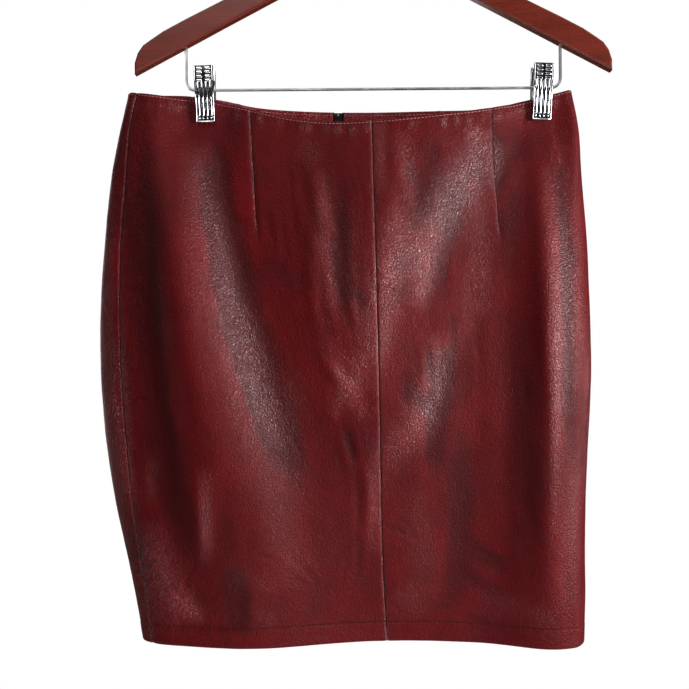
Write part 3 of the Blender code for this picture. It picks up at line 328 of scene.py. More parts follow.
def natural_spline(stations: Sequence[float], values: Sequence[float]) -> Curve:
    """Make a smooth function of position through stations and values.

    Args:
        stations: Rising positions.
        values: The value at each station.

    Returns:
        A function of position, held at its ends.
    """
    knots, heights = np.array(stations, float), np.array(values, float)
    steps = np.diff(knots)
    rises = np.diff(heights) / steps
    system, turns = np.eye(len(knots)), np.zeros(len(knots))
    for i in range(1, len(steps)):
        system[i, i - 1:i + 2] = steps[i - 1], 2.0 * (steps[i - 1] + steps[i]), steps[i]
        turns[i] = 6.0 * (rises[i] - rises[i - 1])
    bends = np.linalg.solve(system, turns)

    def value_at(position: Array) -> Array:
        """Return the curve's value at each position."""
        place = np.clip(position, knots[0], knots[-1])
        span = np.clip(np.searchsorted(knots, place, side="right") - 1, 0, len(steps) - 1)
        ahead = (place - knots[span]) / steps[span]
        behind = 1.0 - ahead
        bulge = (behind ** 3 - behind) * bends[span] + (ahead ** 3 - ahead) * bends[span + 1]
        return behind * heights[span] + ahead * heights[span + 1] + bulge * steps[span] ** 2 / 6.0

    return value_at


def column_curves(names: Sequence[str], rows: Sequence[Places]) -> dict[str, Curve]:
    """Make one smooth function for each column of a table after its first, rising one.

    Args:
        names: The table's column names.
        rows: The table's rows.

    Returns:
        The functions by column name.
    """
    first, *columns = zip(*rows)
    return {name: natural_spline(first, column) for name, column in zip(names[1:], columns)}


def smooth_step(share: Array) -> Array:
    """Ease from 0 to 1 as share goes from 0 to 1."""
    held = np.clip(share, 0.0, 1.0)
    return held * held * (3.0 - 2.0 * held)


def bell(offset: Array) -> Array:
    """Return a soft bell of height 1 at offsets from its middle, in its widths."""
    return np.exp(-offset ** 2)


def curl(distance: Array, radius: float) -> Array:
    """Return how far a turned edge of that radius has gone in, cubed, at a distance from it."""
    inside = np.clip(1.0 - distance / radius, 0.0, 1.0)
    return (radius * (1.0 - np.sqrt(1.0 - inside ** 2))) ** 3


def smooth_sample(table: Array, row: Array, column: Array) -> Array:
    """Read a table of points between its rows and columns, along smooth curves.

    Args:
        table: Points in rows and columns.
        row: Row positions, whole or not.
        column: Column positions of the same shape.

    Returns:
        One point for each position.
    """
    def near(place: Array, count: int) -> list[tuple[Array, Array]]:
        """Return the four table places next to each position, with their shares."""
        first = np.clip(np.floor(place).astype(int), 1, count - 3)
        ahead = place - first
        square = ahead * ahead
        cube = square * ahead
        shares = ((2.0 * square - ahead - cube) / 2.0, (2.0 - 5.0 * square + 3.0 * cube) / 2.0,
                  (ahead + 4.0 * square - 3.0 * cube) / 2.0, (cube - square) / 2.0)
        return [(first + k - 1, share) for k, share in enumerate(shares)]

    across = near(column, table.shape[1])
    total = np.zeros(row.shape + table.shape[2:])
    for near_row, row_share in near(row, table.shape[0]):
        for near_column, column_share in across:
            total += (row_share * column_share)[..., None] * table[near_row, near_column]
    return total


def drift(points: Array, squash: Places, wavelength: float, shift: float) -> Array:
    """Return smooth seeded noise from -1 to 1 at each point.

    Args:
        points: Places in rows and columns (mm).
        squash: How much quicker the noise changes along each axis.
        wavelength: Size of the noise's swells (mm).
        shift: Where the noise is read, so that fields differ.

    Returns:
        One value for each point.
    """
    flat = (points * squash).reshape(-1, 3) / wavelength + shift
    return np.array([noise.noise(Vector(place)) for place in flat]).reshape(points.shape[:-1])


# ---------------------------------------------------------------- the skin of the skirt

@dataclass(frozen=True)
class SkirtSizes:
    """Driving sizes of the skirt's make (mm)."""

    leather: float = 1.2
    hem_wall: float = 2.4
    hem_turn: float = 20.0
    hem_below: float = 737.0
    layer_gap: float = 0.3
    seam_gap: float = 0.05
    edge_turn: float = 1.25
    seam_turn: float = 0.7
    facing_wall: float = 1.0
    tape_wall: float = 0.6
    tape_width: float = 9.0
    zip_length: float = 178.0
    zip_stop: float = 4.0
    zip_opening: float = 3.8
    zip_taper: float = 5.0
    chain_width: float = 6.2
    chain_depth: float = 1.5
    chain_face: float = 0.6
    slider_drop: float = 3.0
    clip_reach: float = 156.0
    grip_front: float = 1.6
    grip_back: float = 2.8
    grip_half_width: float = 13.0
    grip_spread: float = 21.0
    grip_widening: float = 0.08
    grip_bottom: float = 260.0
    grip_fade: float = 190.0
    waist_ring: float = 240.0
    waist_stitch: float = 2.2
    hem_stitch: float = 18.6
    zip_stitch: float = 6.0


SIZES = SkirtSizes()


class SkinForm:
    """The skirt's smooth skin, from its section, fold and waist tables."""

    ring_samples = 900

    def __init__(self) -> None:
        """Read the tables and work out a ring every three millimetres."""
        self.section = column_curves(SECTION_COLUMNS, SECTION_ROWS)
        self.waist = column_curves(WAIST_COLUMNS, WAIST_ROWS)
        self.folds = {face: [[natural_spline(FOLD_STATIONS, values) for values in row]
                             for row in FOLD_ROWS[face.value]] for face in Face}
        self.levels = np.arange(218.0, 746.0, 3.0)
        self.rings = [SkinRing(self, level) for level in self.levels]
        self.waist_ring = SkinRing(self, SIZES.waist_ring)

    def at(self, below: float) -> dict[str, float]:
        """Return the section's sizes at a level."""
        return {name: float(curve(below)) for name, curve in self.section.items()}

    def depth(self, across: Array, below: float, face: Face) -> Array:
        """Return the distance of one face's skin from the middle plane.

        Args:
            across: Places along one ring.
            below: The ring's level.
            face: The front or the back.

        Returns:
            One distance for each place.
        """
        at = self.at(below)
        left_share = np.clip((across - at["left"]) / at["left_round"], 0.0, 1.0)
        right_share = np.clip((at["right"] - across) / at["right_round"], 0.0, 1.0)
        ends = np.sqrt(1.0 - (1.0 - left_share) ** 2) * np.sqrt(1.0 - (1.0 - right_share) ** 2)
        body = at["end_depth"] + np.zeros_like(across)
        for line, proud, width in self.folds[face]:
            body = body + proud(below) * bell((across - line(below)) / width(below))
        beside = np.maximum(np.abs(np.abs(across) - SIZES.clip_reach) - SIZES.grip_half_width, 0.0)
        under = max(below - SIZES.grip_bottom, 0.0)
        spread = SIZES.grip_spread + SIZES.grip_widening * under
        grip = bell(beside / spread) * max(1.0 - under / SIZES.grip_fade, 0.0) ** 2
        gripped = SIZES.grip_front if face is Face.FRONT else SIZES.grip_back
        return ends * (body * (1.0 - grip) + gripped * grip)


class SkinRing:
    """One level ring of the skin, walked from the centre front towards +X and round."""

    def __init__(self, form: SkinForm, below: float) -> None:
        """Work out the ring's outline and its landmarks.

        Args:
            form: The skin that the ring belongs to.
            below: The ring's level.
        """
        at = form.at(below)
        middle, half = (at["left"] + at["right"]) / 2.0, (at["right"] - at["left"]) / 2.0
        turns = np.linspace(0.0, math.pi, form.ring_samples)
        rightwards = np.sort(np.append(middle - half * np.cos(turns), at["front_middle"]))
        leftwards = rightwards[::-1][1:-1]
        across = np.concatenate([rightwards, leftwards])
        depth = np.concatenate([-form.depth(rightwards, below, Face.FRONT),
                                form.depth(leftwards, below, Face.BACK)])
        start = int(np.argmin(np.abs(rightwards - at["front_middle"])))
        outline = np.roll(np.stack([across, depth], axis=-1), -start, axis=0)
        self.outline = np.vstack([outline, outline[:1]])
        walked = np.hypot(*np.diff(self.outline, axis=0).T)
        self.walk = np.concatenate([[0.0], np.cumsum(walked)])
        self.girth = float(self.walk[-1])
        right_end, left_end = len(rightwards) - 1 - start, len(self.walk) - 1 - start
        self.right_fold = float(self.walk[right_end])
        self.left_fold = float(self.walk[left_end])
        last_part = self.walk > self.left_fold
        seam_walk = np.interp(at["left_seam"], self.outline[last_part, 0], self.walk[last_part])
        self.front_half = self.girth - float(seam_walk)
        back = slice(right_end, left_end)
        self.back_walk = float(np.interp(-at["back_middle"], -self.outline[back, 0],
                                         self.walk[back]))

    def place(self, walk: Array) -> Array:
        """Return the across and depth at walked distances."""
        here = np.mod(walk, self.girth)
        return np.stack([np.interp(here, self.walk, line) for line in self.outline.T], axis=-1)


class Quarter:
    """A quarter of the skin, measured from its centre line outwards to its side seam."""

    shares = np.linspace(-0.04, 1.04, 210)

    def __init__(self, form: SkinForm, name: str) -> None:
        """Lay the quarter on the skin.

        Args:
            form: The skin.
            name: The quarter's name in its table.
        """
        self.form, self.name = form, name
        self.direction, self.dart_top, self.dart_point, self.dart_length, *self.cut = (
            QUARTER_ROWS[name])
        self.is_front = name.startswith("front")
        self.end = name.split("_")[1]
        self.side = 1.0 if self.end == "right" else -1.0
        self.seams = np.array([self.seam_reach(ring) for ring in form.rings])
        self.folds = np.array([self.fold_reach(ring) for ring in form.rings])
        self.table = np.stack([self.along(ring, self.shares * seam)
                               for ring, seam in zip(form.rings, self.seams)])
        reaches = np.linspace(0.0, self.fold_reach(form.waist_ring), 400)
        across = self.along(form.waist_ring, reaches)[:, 0]
        self.clip = float(reaches[np.argmin(np.abs(across - self.side * SIZES.clip_reach))])

    def along(self, ring: SkinRing, reach: Array) -> Array:
        """Return the across and depth on a ring at distances from the centre line."""
        start = 0.0 if self.is_front else ring.back_walk
        return ring.place(start + self.direction * reach)

    def seam_reach(self, ring: SkinRing) -> float:
        """Return the distance from the centre line to the side seam on a ring."""
        if self.is_front:
            return ring.front_half
        if self.direction < 0:
            return ring.back_walk - ring.front_half
        return ring.girth - ring.front_half - ring.back_walk

    def fold_reach(self, ring: SkinRing) -> float:
        """Return the distance from the centre line to the side fold on a ring."""
        fold = ring.right_fold if self.side > 0.0 else ring.left_fold
        if self.is_front:
            return fold if self.direction > 0 else ring.girth - fold
        return abs(fold - ring.back_walk)

    def landmark(self, name: str, below: Array) -> Array:
        """Return the distance from the centre line to a landmark at each level.

        Args:
            name: centre, dart, fold or seam.
            below: Levels.

        Returns:
            One distance for each level.
        """
        if name == "centre":
            opening = 0.0 * below
            if not self.is_front:
                opening = smooth_step((self.zip_end() - below) / SIZES.zip_taper + 0.5)
            half_gap = SIZES.seam_gap / 2.0
            return half_gap + (SIZES.zip_opening - half_gap) * opening
        if name == "dart":
            share = np.clip((below - SIZES.waist_ring) / self.dart_length, 0.0, 1.0)
            return self.dart_top + (self.dart_point - self.dart_top) * share
        if name == "fold":
            return np.interp(below, self.form.levels, self.folds)
        return np.interp(below, self.form.levels, self.seams) - SIZES.seam_gap / 2.0

    def place(self, reach: Array, below: Array) -> Array:
        """Return points of the smooth skin (mm).

        Args:
            reach: Distances from the centre line.
            below: Levels.

        Returns:
            One point for each.
        """
        levels = self.form.levels
        share = reach / np.interp(below, levels, self.seams)
        column = (share - self.shares[0]) / (self.shares[1] - self.shares[0])
        row = (below - levels[0]) / (levels[1] - levels[0])
        return np.concatenate([smooth_sample(self.table, row, column), -below[..., None]], axis=-1)

    def waist_edge(self, reach: Array) -> Array:
        """Return the level of the waist's upper edge at distances from the centre line."""
        return np.array([float(self.form.waist["front_edge" if y < 0.0 else "back_edge"](x))
                         for x, y in self.along(self.form.waist_ring, reach)])

    def zip_top(self) -> float:
        """Return the level of the waist's edge at the centre back."""
        centre_back = self.form.section["back_middle"](SIZES.waist_ring)
        return float(self.form.waist["back_edge"](centre_back))

    def zip_end(self) -> float:
        """Return the level at which the zip's opening ends."""
        return self.zip_top() + SIZES.zip_length


# ---------------------------------------------------------------- creases and swells

@dataclass(frozen=True)
class Stroke:
    """A soft-edged line through three places (across, below), in millimetres."""

    places: Places
    width: float
    strength: float

    def line(self) -> Array:
        """Return points along the stroke, on a smooth curve through its three places."""
        first, middle, last = np.array(self.places).reshape(3, 2)
        ahead = np.linspace(0.0, 1.0, 9)[:, None]
        bend = 2.0 * middle - (first + last) / 2.0
        return (1.0 - ahead) ** 2 * first + 2.0 * ahead * (1.0 - ahead) * bend + ahead ** 2 * last

    def add_to(self, field: Array, spots: Array) -> None:
        """Add the stroke to a field.

        Args:
            field: One value for each spot, changed in place.
            spots: Across and below at each value of the field.
        """
        line = self.line()
        margin = 3.2 * self.width
        near = np.all((spots > line.min(0) - margin) & (spots < line.max(0) + margin), axis=-1)
        here = spots[near]
        best, along = np.full(len(here), 1e9), np.zeros(len(here))
        for i, (start, end) in enumerate(zip(line, line[1:])):
            run = end - start
            share = np.clip(((here - start) @ run) / max(run @ run, 1e-9), 0.0, 1.0)
            gap = np.linalg.norm(here - start - share[:, None] * run, axis=1)
            closer = gap < best
            best[closer] = gap[closer]
            along[closer] = (i + share[closer]) / (len(line) - 1)
        taper = np.sin(math.pi * np.clip(along, 0.0, 1.0)) ** 0.8
        field[near] += self.strength * taper * self.profile(best / self.width)

    def profile(self, offset: Array) -> Array:
        """Return the stroke's share at offsets from its line, in widths."""
        return bell(offset)

    def turned(self, seed: np.random.Generator) -> "Stroke":
        """Make a like stroke for the back: moved, resized and turned the other way.

        Args:
            seed: The source of its place and size.

        Returns:
            The stroke.
        """
        places = np.array(self.places, float).reshape(3, 2)
        places[:, 0] = BACK_TURN - places[:, 0] + seed.uniform(-16.0, 16.0)
        places[:, 1] += seed.uniform(-34.0, 34.0)
        places[1] += seed.uniform(-4.0, 4.0, 2)
        strength = self.strength * seed.uniform(0.7, 1.15)
        return type(self)(tuple(places.ravel()), self.width * seed.uniform(0.8, 1.3), strength)


class Crease(Stroke):
    """A soft trough in the leather with low rims, or a ridge where its strength is below zero."""

    def profile(self, offset: Array) -> Array:
        """Return the crease's height at offsets from its line, in widths."""
        return 0.32 * bell((offset - 1.9) / 0.75) - bell(offset)


@dataclass(frozen=True)
class WrinkleField:
    """A field of small creases: its middle and half size, how many it has, their length, width
    and depth (mm), the way they run from level and how far that varies (degrees), and how thick
    the finest wrinkles lie in it, from 0 to 1.
    """

    across: float
    below: float
    half_width: float
    half_height: float
    count: int
    length: float
    width: float
    depth: float
    run: float
    spread: float
    fine: float

    def small(self, face: Face, seed: np.random.Generator) -> Crease:
        """Make one small crease of the field.

        Args:
            face: The face that it is on; the back has the field mirrored.
            seed: The source of its place, size and run.

        Returns:
            The crease.
        """
        way, across = (1.0, self.across) if face is Face.FRONT else (-1.0, BACK_TURN - self.across)
        away = seed.normal(0.0, 0.5, 2)
        middle = np.array([across + away[0] * self.half_width,
                           self.below + away[1] * self.half_height])
        run = math.radians(self.run * way + seed.uniform(-1.0, 1.0) * self.spread)
        half = self.length * seed.uniform(0.3, 0.75) * np.array([math.cos(run), math.sin(run)])
        bow = seed.uniform(-0.16, 0.16) * np.array([-half[1], half[0]])
        places = np.concatenate([middle - half, middle + bow, middle + half])
        depth = self.depth * seed.uniform(0.5, 1.4) * (1.0 if seed.random() < 0.8 else -0.8)
        return Crease(tuple(places), self.width * seed.uniform(0.8, 1.5), depth)

    def thickness(self, across: Array, below: Array) -> Array:
        """Return how thick the field's finest wrinkles lie at places."""
        return self.fine * np.exp(-((across - self.across) / self.half_width) ** 2
                                  - ((below - self.below) / self.half_height) ** 2)


WRINKLE_FIELDS = tuple(WrinkleField(*row) for row in FIELD_ROWS)


class CreasedFace:
    """All the creases, the worn gloss and the painted shading of one face, as strokes by trait."""

    def __init__(self, face: Face) -> None:
        """Collect the face's strokes.

        Args:
            face: The front, or the back with strokes that are like the front's.
        """
        seed = np.random.default_rng(FRONT_SEED if face is Face.FRONT else BACK_SEED)
        self.strokes = {"crease": [Crease(row[:6], *row[6:]) for row in FRONT_CREASES]
                        + [Stroke(row[:6], *row[6:]) for row in BROAD_FOLDS]}
        # The second value of each stroke is painted shading in the dye: painted shade below zero,
        # painted highlight above.
        for k, trait in enumerate(("polish", "dye_and_painted_shading")):
            self.strokes[trait] = [Stroke(row[:6], row[6], row[7].value[k])
                                   for row in GLOSS_AND_PAINTED_SHADING_STROKES]
        if face is Face.BACK:
            for trait, strokes in self.strokes.items():
                source = seed if trait == "crease" else np.random.default_rng(GLOSS_AND_SHADING_SEED)
                strokes[:] = [stroke.turned(source) for stroke in strokes]
        for field in WRINKLE_FIELDS:
            self.strokes["crease"] += [field.small(face, seed) for _ in range(field.count)]

    def total(self, trait: str, spots: Array) -> Array:
        """Return the sum of a trait's strokes at each across and below."""
        field = np.zeros(spots.shape[:-1])
        for stroke in self.strokes[trait]:
            stroke.add_to(field, spots)
        return field


@dataclass
class SkinPatch:
    """A grid of places on one quarter, with all that its relief is worked out from."""

    quarter: Quarter
    reach: Array
    below: Array
    edge: Array

    def __post_init__(self) -> None:
        """Place the grid on the smooth skin and find its outward directions."""
        self.base = self.quarter.place(self.reach, self.below)
        down, out = (np.gradient(self.base, axis=axis) for axis in (0, 1))
        normal = np.cross(down, out) * self.quarter.direction
        self.normal = normal / np.linalg.norm(normal, axis=-1, keepdims=True)
        self.to_centre = self.reach - self.quarter.landmark("centre", self.below)
        self.to_seam = self.quarter.landmark("seam", self.below) - self.reach
        self.to_dart = np.abs(self.reach - self.quarter.landmark("dart", self.below))
        self.under_edge = self.below - self.edge
        self.over_point = self.quarter.dart_length - self.under_edge
        self.over_hem = SIZES.hem_below - self.below

    def raised(self, height: Array) -> Array:
        """Return the grid's points moved out by a height (mm)."""
        return self.base + self.normal * height[..., None]

    def drift(self, squash: Places, wavelength: float, shift: float) -> Array:
        """Return smooth noise from -1 to 1 over the grid; see drift."""
        return drift(self.base, squash, wavelength, shift)


class Relief:
    """The leather's relief over the smooth skin, how it is worn, and the shade and highlight
    painted into its dye.
    """

    hold = 9.5
    hold_bottom = 259.0

    def __init__(self) -> None:
        """Collect the creases of both faces."""
        self.faces = {face: CreasedFace(face) for face in Face}

    def calm(self, patch: SkinPatch) -> Array:
        """Return 0 where a clip or the zip holds the leather flat, rising to 1 away from them."""
        beside = np.abs(np.abs(patch.base[..., 0]) - SIZES.clip_reach) - self.hold
        from_clip = np.hypot(np.maximum(beside, 0.0),
                             np.maximum(patch.below - self.hold_bottom, 0.0))
        free = smooth_step(from_clip / 16.0)
        if not patch.quarter.is_front:
            along_zip = smooth_step((patch.quarter.zip_end() + 6.0 - patch.below) / 10.0)
            free = free * (1.0 - along_zip * (1.0 - smooth_step((patch.to_centre - 9.0) / 16.0)))
        return free

    def laid(self, patch: SkinPatch, trait: str) -> Array:
        """Return the sum of both faces' strokes of a trait: "crease", "polish" or "tint"."""
        spots = np.stack([patch.base[..., 0], patch.below], axis=-1)
        to_front = smooth_step(0.5 - patch.base[..., 1] / 10.0)
        return (to_front * self.faces[Face.FRONT].total(trait, spots)
                + (1.0 - to_front) * self.faces[Face.BACK].total(trait, spots))

    def swells(self, patch: SkinPatch) -> Array:
        """Return the slow swells, main creases and small wrinkles of the leather."""
        slow = 0.55 * patch.drift((1.0, 1.0, 0.6), 46.0, 3.1)
        slow += 0.30 * patch.drift((1.0, 1.0, 0.7), 21.0, 9.7)
        slow += 0.09 * patch.drift((1.0, 1.0, 1.0), 8.0, 17.3)
        slow += 0.028 * patch.drift((1.0, 1.0, 1.0), 3.6, 23.9)
        return (self.laid(patch, "crease") + slow) * self.calm(patch)

    def polish(self, patch: SkinPatch) -> Array:
        """Return how glossy the leather is worn, from 0 dull to 1 polished."""
        worn = np.maximum(EVEN_POLISH + self.laid(patch, "polish"), EVEN_POLISH)
        to_dart = patch.to_dart + 0.12 * np.maximum(8.0 - patch.over_point, 0.0)
        for distance in (patch.to_centre, patch.to_seam, to_dart):
            worn += 0.85 * bell(distance / 1.6)
        ticks = np.maximum(patch.drift(PUCKER_SQUASH, 7.0, 71.0), 0.0)
        worn += 1.1 * ticks * bell((patch.under_edge - 8.0) / 4.5)
        return np.clip(worn, 0.0, 1.0)

    def crazed(self, patch: SkinPatch) -> Array:
        """Return how thick the leather's finest wrinkles lie, from 0 none to 1 many."""
        across = patch.base[..., 0]
        across = np.where(patch.base[..., 1] < 0.0, across, BACK_TURN - across)
        total = sum(field.thickness(across, patch.below) for field in WRINKLE_FIELDS)
        return np.clip(total, 0.0, 1.0)

    def dye_and_painted_shading(self, patch: SkinPatch) -> Array:
        """Return how light the leather's dye is, from 0 deep to 1 bright: an even dye with painted
        shade and painted highlight from the strokes.
        """
        return np.clip(EVEN_TINT + self.laid(patch, "dye_and_painted_shading"), 0.0, 1.0)

    def sewn(self, patch: SkinPatch) -> Array:
        """Return 1 along the sewn dart, running out to 0 past its point."""
        return smooth_step(patch.over_point / 14.0 + 0.2)

    def painted_seam_shade(self, patch: SkinPatch) -> Array:
        """Return the painted shade in the grooves of the seams and the sewn dart, from 0 to 1."""
        return (0.5 * bell(patch.to_centre / 0.4) + 0.15 * bell(patch.to_seam / 0.4)
                + bell(patch.to_dart / 0.5) * self.sewn(patch))

    def seams(self, patch: SkinPatch) -> Array:
        """Return the dips and puckers at the panel's seams and the band of its allowances."""
        total = np.zeros(patch.reach.shape)
        pucker = patch.drift(SEAM_SQUASH, 6.5, 41.0)
        pucker += 0.6 * patch.drift(SEAM_SQUASH, 2.7, 53.0)
        for distance in (patch.to_centre, patch.to_seam):
            total -= 0.95 * np.exp(-distance / 1.5)
            total += 0.14 * smooth_step(distance / 2.5) * smooth_step((13.0 - distance) / 2.5)
            total += 0.32 * pucker * bell((distance - 2.0) / 5.0)
        return total * (0.25 + 0.75 * self.calm(patch))

    def dart(self, patch: SkinPatch) -> Array:
        """Return the groove of the sewn dart, which runs out at its point."""
        beside, left, sewn = patch.to_dart, patch.over_point, self.sewn(patch)
        groove = 1.5 * np.exp(-beside / 1.5)
        dimple = 0.45 * np.exp(-(beside / 5.0) ** 2 - (left / 9.0) ** 2)
        fullness = 0.35 * np.exp(-((beside - 5.5) / 4.0) ** 2 - ((left - 6.0) / 16.0) ** 2)
        pucker = 0.14 * patch.drift(SEAM_SQUASH, 5.0, 61.0) * bell((beside - 2.0) / 3.0) * sewn
        return fullness + pucker - groove * sewn - dimple

    def edges(self, patch: SkinPatch) -> Array:
        """Return the stitched channels, the turned hem's step and the puckers beside both."""
        puckers = patch.drift(PUCKER_SQUASH, 7.0, 71.0)
        total = 0.14 * bell((patch.under_edge - 1.2) / 0.7)
        total -= 0.22 * bell((patch.under_edge - SIZES.waist_stitch) / 0.5)
        total += 1.1 * puckers * bell((patch.under_edge - 8.0) / 5.5) * self.calm(patch)
        hem_gap = patch.over_hem - SIZES.hem_stitch
        wide = patch.drift((1.0, 1.0, 0.3), 11.0, 83.0)
        total -= (0.80 + 0.30 * wide) * bell(hem_gap / 0.8)
        total += 0.30 * smooth_step((SIZES.hem_turn + 1.0 - patch.over_hem) / 3.0)
        total += (0.22 * puckers + 0.35 * wide) * bell(hem_gap / 7.0)
        if not patch.quarter.is_front:
            beside_zip = bell((patch.to_centre - SIZES.zip_stitch) / 0.5)
            total -= 0.2 * beside_zip * smooth_step((patch.quarter.zip_end() - patch.below) / 3.0)
        return total

    def turned_in(self, patch: SkinPatch) -> Array:
        """Return how far the panel's own turned edges have gone in."""
        side_turns = curl(patch.to_centre, SIZES.seam_turn) + curl(patch.to_seam, SIZES.seam_turn)
        top_turn = curl(patch.under_edge, SIZES.edge_turn)
        return (side_turns + top_turn + curl(patch.over_hem, SIZES.hem_wall)) ** (1.0 / 3.0)


# ---------------------------------------------------------------- shader building

class NodeBoard:
    """Adds and links the shader nodes of one material, world or node group."""

    def __init__(self, tree: bpy.types.NodeTree) -> None:
        """Work on one node tree."""
        self.tree = tree

    def feed(self, node: Node, sockets: Feeds) -> Node:
        """Set a node's inputs.

        Args:
            node: The node.
            sockets: Values, or the output sockets that feed them, by input name or place.

        Returns:
            The node.
        """
        for key, value in sockets.items():
            if isinstance(value, Socket):
                self.tree.links.new(value, node.inputs[key])
            else:
                node.inputs[key].default_value = value
        return node

    def add(self, kind: str, sockets: Feeds | None = None, **settings: object) -> Node:
        """Add a node.

        Args:
            kind: The node's type without its ShaderNode prefix.
            sockets: What its inputs are set to or fed with.
            settings: Values of the node's own settings.

        Returns:
            The node.
        """
        node = self.tree.nodes.new("ShaderNode" + kind)
        for name, value in settings.items():
            setattr(node, name, value)
        return self.feed(node, sockets or {})

    def mix(self, share: object, *ends: object) -> Socket:
        """Blend two colours by a share and return the blend."""
        first, second = (end if isinstance(end, Socket) else (*end, 1.0) for end in ends)
        return self.add("Mix", {0: share, 6: first, 7: second}, data_type="RGBA").outputs[2]

    def math(self, operation: str, first: object, second: object,
             third: object = 0.0) -> Socket:
        """Return the result of one sum on values or sockets."""
        return self.add("Math", {0: first, 1: second, 2: third}, operation=operation).outputs[0]

    def ranged(self, value: object, low: float, high: float, out_low: float = 0.0,
               out_high: float = 1.0) -> Socket:
        """Map a value's range to another, held at both ends."""
        sockets = {0: value, 1: low, 2: high, 3: out_low, 4: out_high}
        return self.add("MapRange", sockets).outputs[0]

    def noise(self, vector: Socket, scale: object, detail: object = 3.0,
              distortion: float = 0.0, **more: float) -> Socket:
        """Return noise from 0 to 1 at a scale."""
        return self.add("TexNoise", {"Vector": vector, "Scale": scale, "Detail": detail,
                                     "Distortion": distortion, **more}).outputs["Fac"]

    def waves(self, vector: Socket, scale: float, bands: str, **more: float) -> Socket:
        """Return regular bands from 0 to 1 at a scale; underscores in names are spaces."""
        more = {key.replace("_", " "): value for key, value in more.items()}
        return self.add("TexWave", {"Vector": vector, "Scale": scale, **more},
                        bands_direction=bands).outputs["Fac"]

    def cells(self, vector: Socket, scale: object) -> Socket:
        """Return the distance to the edge of irregular cells at a scale."""
        return self.add("TexVoronoi", {"Vector": vector, "Scale": scale},
                        feature="DISTANCE_TO_EDGE").outputs["Distance"]

    def trait(self, name: str) -> Socket:
        """Return the value of one of the piece's own attributes."""
        return self.add("Attribute", attribute_name=name).outputs["Fac"]

    def stretched(self, vector: Socket, *scale: float) -> Socket:
        """Return coordinates stretched along the axes."""
        return self.add("Mapping", {"Vector": vector, "Scale": scale}).outputs[0]

    def shaken(self, vector: Socket, scale: float, detail: float, reach: float) -> Socket:
        """Move coordinates unevenly.

        Args:
            vector: The coordinates.
            scale: The scale of the noise that moves them.
            detail: How fine that noise is.
            reach: How far it moves them.

        Returns:
            The moved coordinates.
        """
        noisy = self.add("TexNoise", {"Vector": vector, "Scale": scale, "Detail": detail})
        shift = self.add("VectorMath", {0: noisy.outputs["Color"], 1: (0.5, 0.5, 0.5)},
                         operation="SUBTRACT")
        return self.add("VectorMath", {0: shift.outputs[0], 1: (reach, reach, reach), 2: vector},
                        operation="MULTIPLY_ADD").outputs[0]

    def bump(self, height: Socket, strength: float, distance: float,
             normal: Socket | None = None) -> Socket:
        """Return a bumped normal, on top of another one where it is given."""
        under = {} if normal is None else {"Normal": normal}
        return self.add("Bump", {"Height": height, "Strength": strength, "Distance": distance,
                                 **under}).outputs[0]

    def placed(self, group: bpy.types.NodeTree, vector: Socket, **numbers: float) -> Sockets:
        """Place a node group on coordinates with its own numbers and return its outputs."""
        return self.add("Group", {"Vector": vector, **numbers}, node_tree=group).outputs


class GroupBoard(NodeBoard):
    """The board of a new shader node group, which takes coordinates and numbers."""

    def __init__(self, name: str, numbers: dict[str, float], *results: str) -> None:
        """Make the empty group.

        Args:
            name: The group's name.
            numbers: The default values of its numbers by name.
            results: The names of what it puts out; Vector is a vector and the rest values.
        """
        super().__init__(bpy.data.node_groups.new(name, "ShaderNodeTree"))
        ways = [("Vector", "INPUT"), *((key, "INPUT") for key in numbers)]
        for key, way in ways + [(key, "OUTPUT") for key in results]:
            kind = "NodeSocketVector" if key == "Vector" else "NodeSocketFloat"
            socket = self.tree.interface.new_socket(key, in_out=way, socket_type=kind)
            if key in numbers:
                socket.default_value = numbers[key]
        self.given = self.tree.nodes.new("NodeGroupInput").outputs
        self.made = self.tree.nodes.new("NodeGroupOutput")

    def close(self, *results: Socket) -> bpy.types.NodeTree:
        """Put out the results and return the group."""
        self.feed(self.made, dict(enumerate(results)))
        return self.tree


